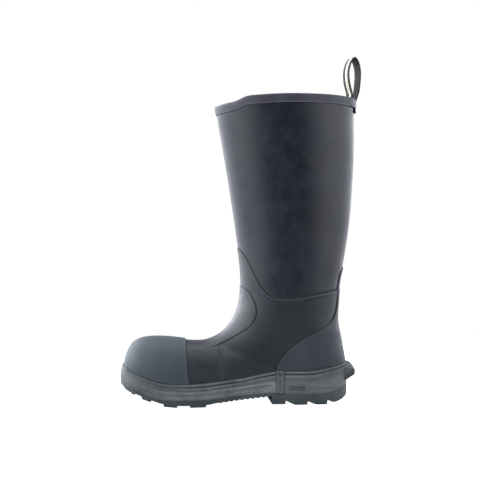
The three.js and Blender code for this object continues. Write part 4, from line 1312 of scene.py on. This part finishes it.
def make_world():
    """Softboxes on both sides of the camera, walls beside the boot, a dark gap behind it and a ceiling."""
    world = bpy.data.worlds.new("studio")
    bpy.context.scene.world = world
    s = Nodes(world)
    s.tree.nodes.clear()

    def by_angle(value, start, end, low, high):
        return s.ramp(value, math.radians(start), math.radians(end), low, high)

    def background(color, strength):
        made = s.node("Background", {"Strength": strength})
        made.inputs["Color"].default_value = color
        return made.outputs[0]

    x, y, z = s.node("SeparateXYZ", {0: s.node("TexCoord").outputs["Generated"]}).outputs
    aside = s.math("ARCTAN2", x, s.times(y, -1.0))
    start, end, bright = SOFTBOXES
    walls = by_angle(s.size(s.math("SUBTRACT", aside, FRONT_CENTRE)), start, end, DARK_FRONT, bright)
    for (start, end, bright, low), towards in ((LEFT_BOX, -1.0), (LEFT_WALL, -1.0), (RIGHT_WALL, 1.0)):
        wall = by_angle(s.times(aside, towards), start, end, 0.0, bright)
        walls = s.plus(walls, s.times(wall, s.ramp(z, *SIDE_RISE, low, 1.0)))
    start, end, left = BACK_GAP
    walls = s.times(walls, by_angle(s.size(aside), start, end, 1.0, left))
    walls = s.times(walls, s.ramp(z, *WALL_RISE))
    walls = s.times(walls, s.ramp(z, *HIGH_FALL))
    overhead = s.ramp(z, *CEILING)
    beside = s.times(walls, s.math("SUBTRACT", 1.0, overhead))
    light = background(LIGHT_TINT, s.plus(beside, s.times(overhead, CEILING_LIGHT)))
    seen = s.node("LightPath").outputs["Is Camera Ray"]
    mixed = s.node("MixShader", {0: seen, 1: light, 2: background(WHITE, 1.0)}).outputs[0]
    s.node("OutputWorld", {"Surface": mixed})


def make_top_light():
    data = bpy.data.lights.new("top_softbox", "AREA")
    data.shape = "RECTANGLE"
    data.size, data.size_y = TOP_LIGHT_SIZE
    data.energy = TOP_LIGHT_POWER
    light = place_object("top_softbox", data)
    light.location = TOP_LIGHT_PLACE
    facing = Vector(TOP_LIGHT_TARGET) - light.location
    light.rotation_euler = facing.to_track_quat("-Z", "Y").to_euler()


def make_camera():
    data = bpy.data.cameras.new("camera")
    data.lens = CAMERA_LENS
    data.sensor_width = CAMERA_SENSOR
    camera = place_object("camera", data)
    aside, ahead = math.sin(CAMERA_TURN), math.cos(CAMERA_TURN)
    camera.location = (-CAMERA_DISTANCE * aside, -CAMERA_DISTANCE * ahead, CAMERA_HEIGHT)
    camera.rotation_euler = (PI / 2, 0, -CAMERA_TURN)
    bpy.context.scene.camera = camera


make_floor()
make_world()
make_top_light()
make_camera()
bpy.context.scene.view_settings.view_transform = "Standard"
bpy.context.scene.view_settings.look = "None"
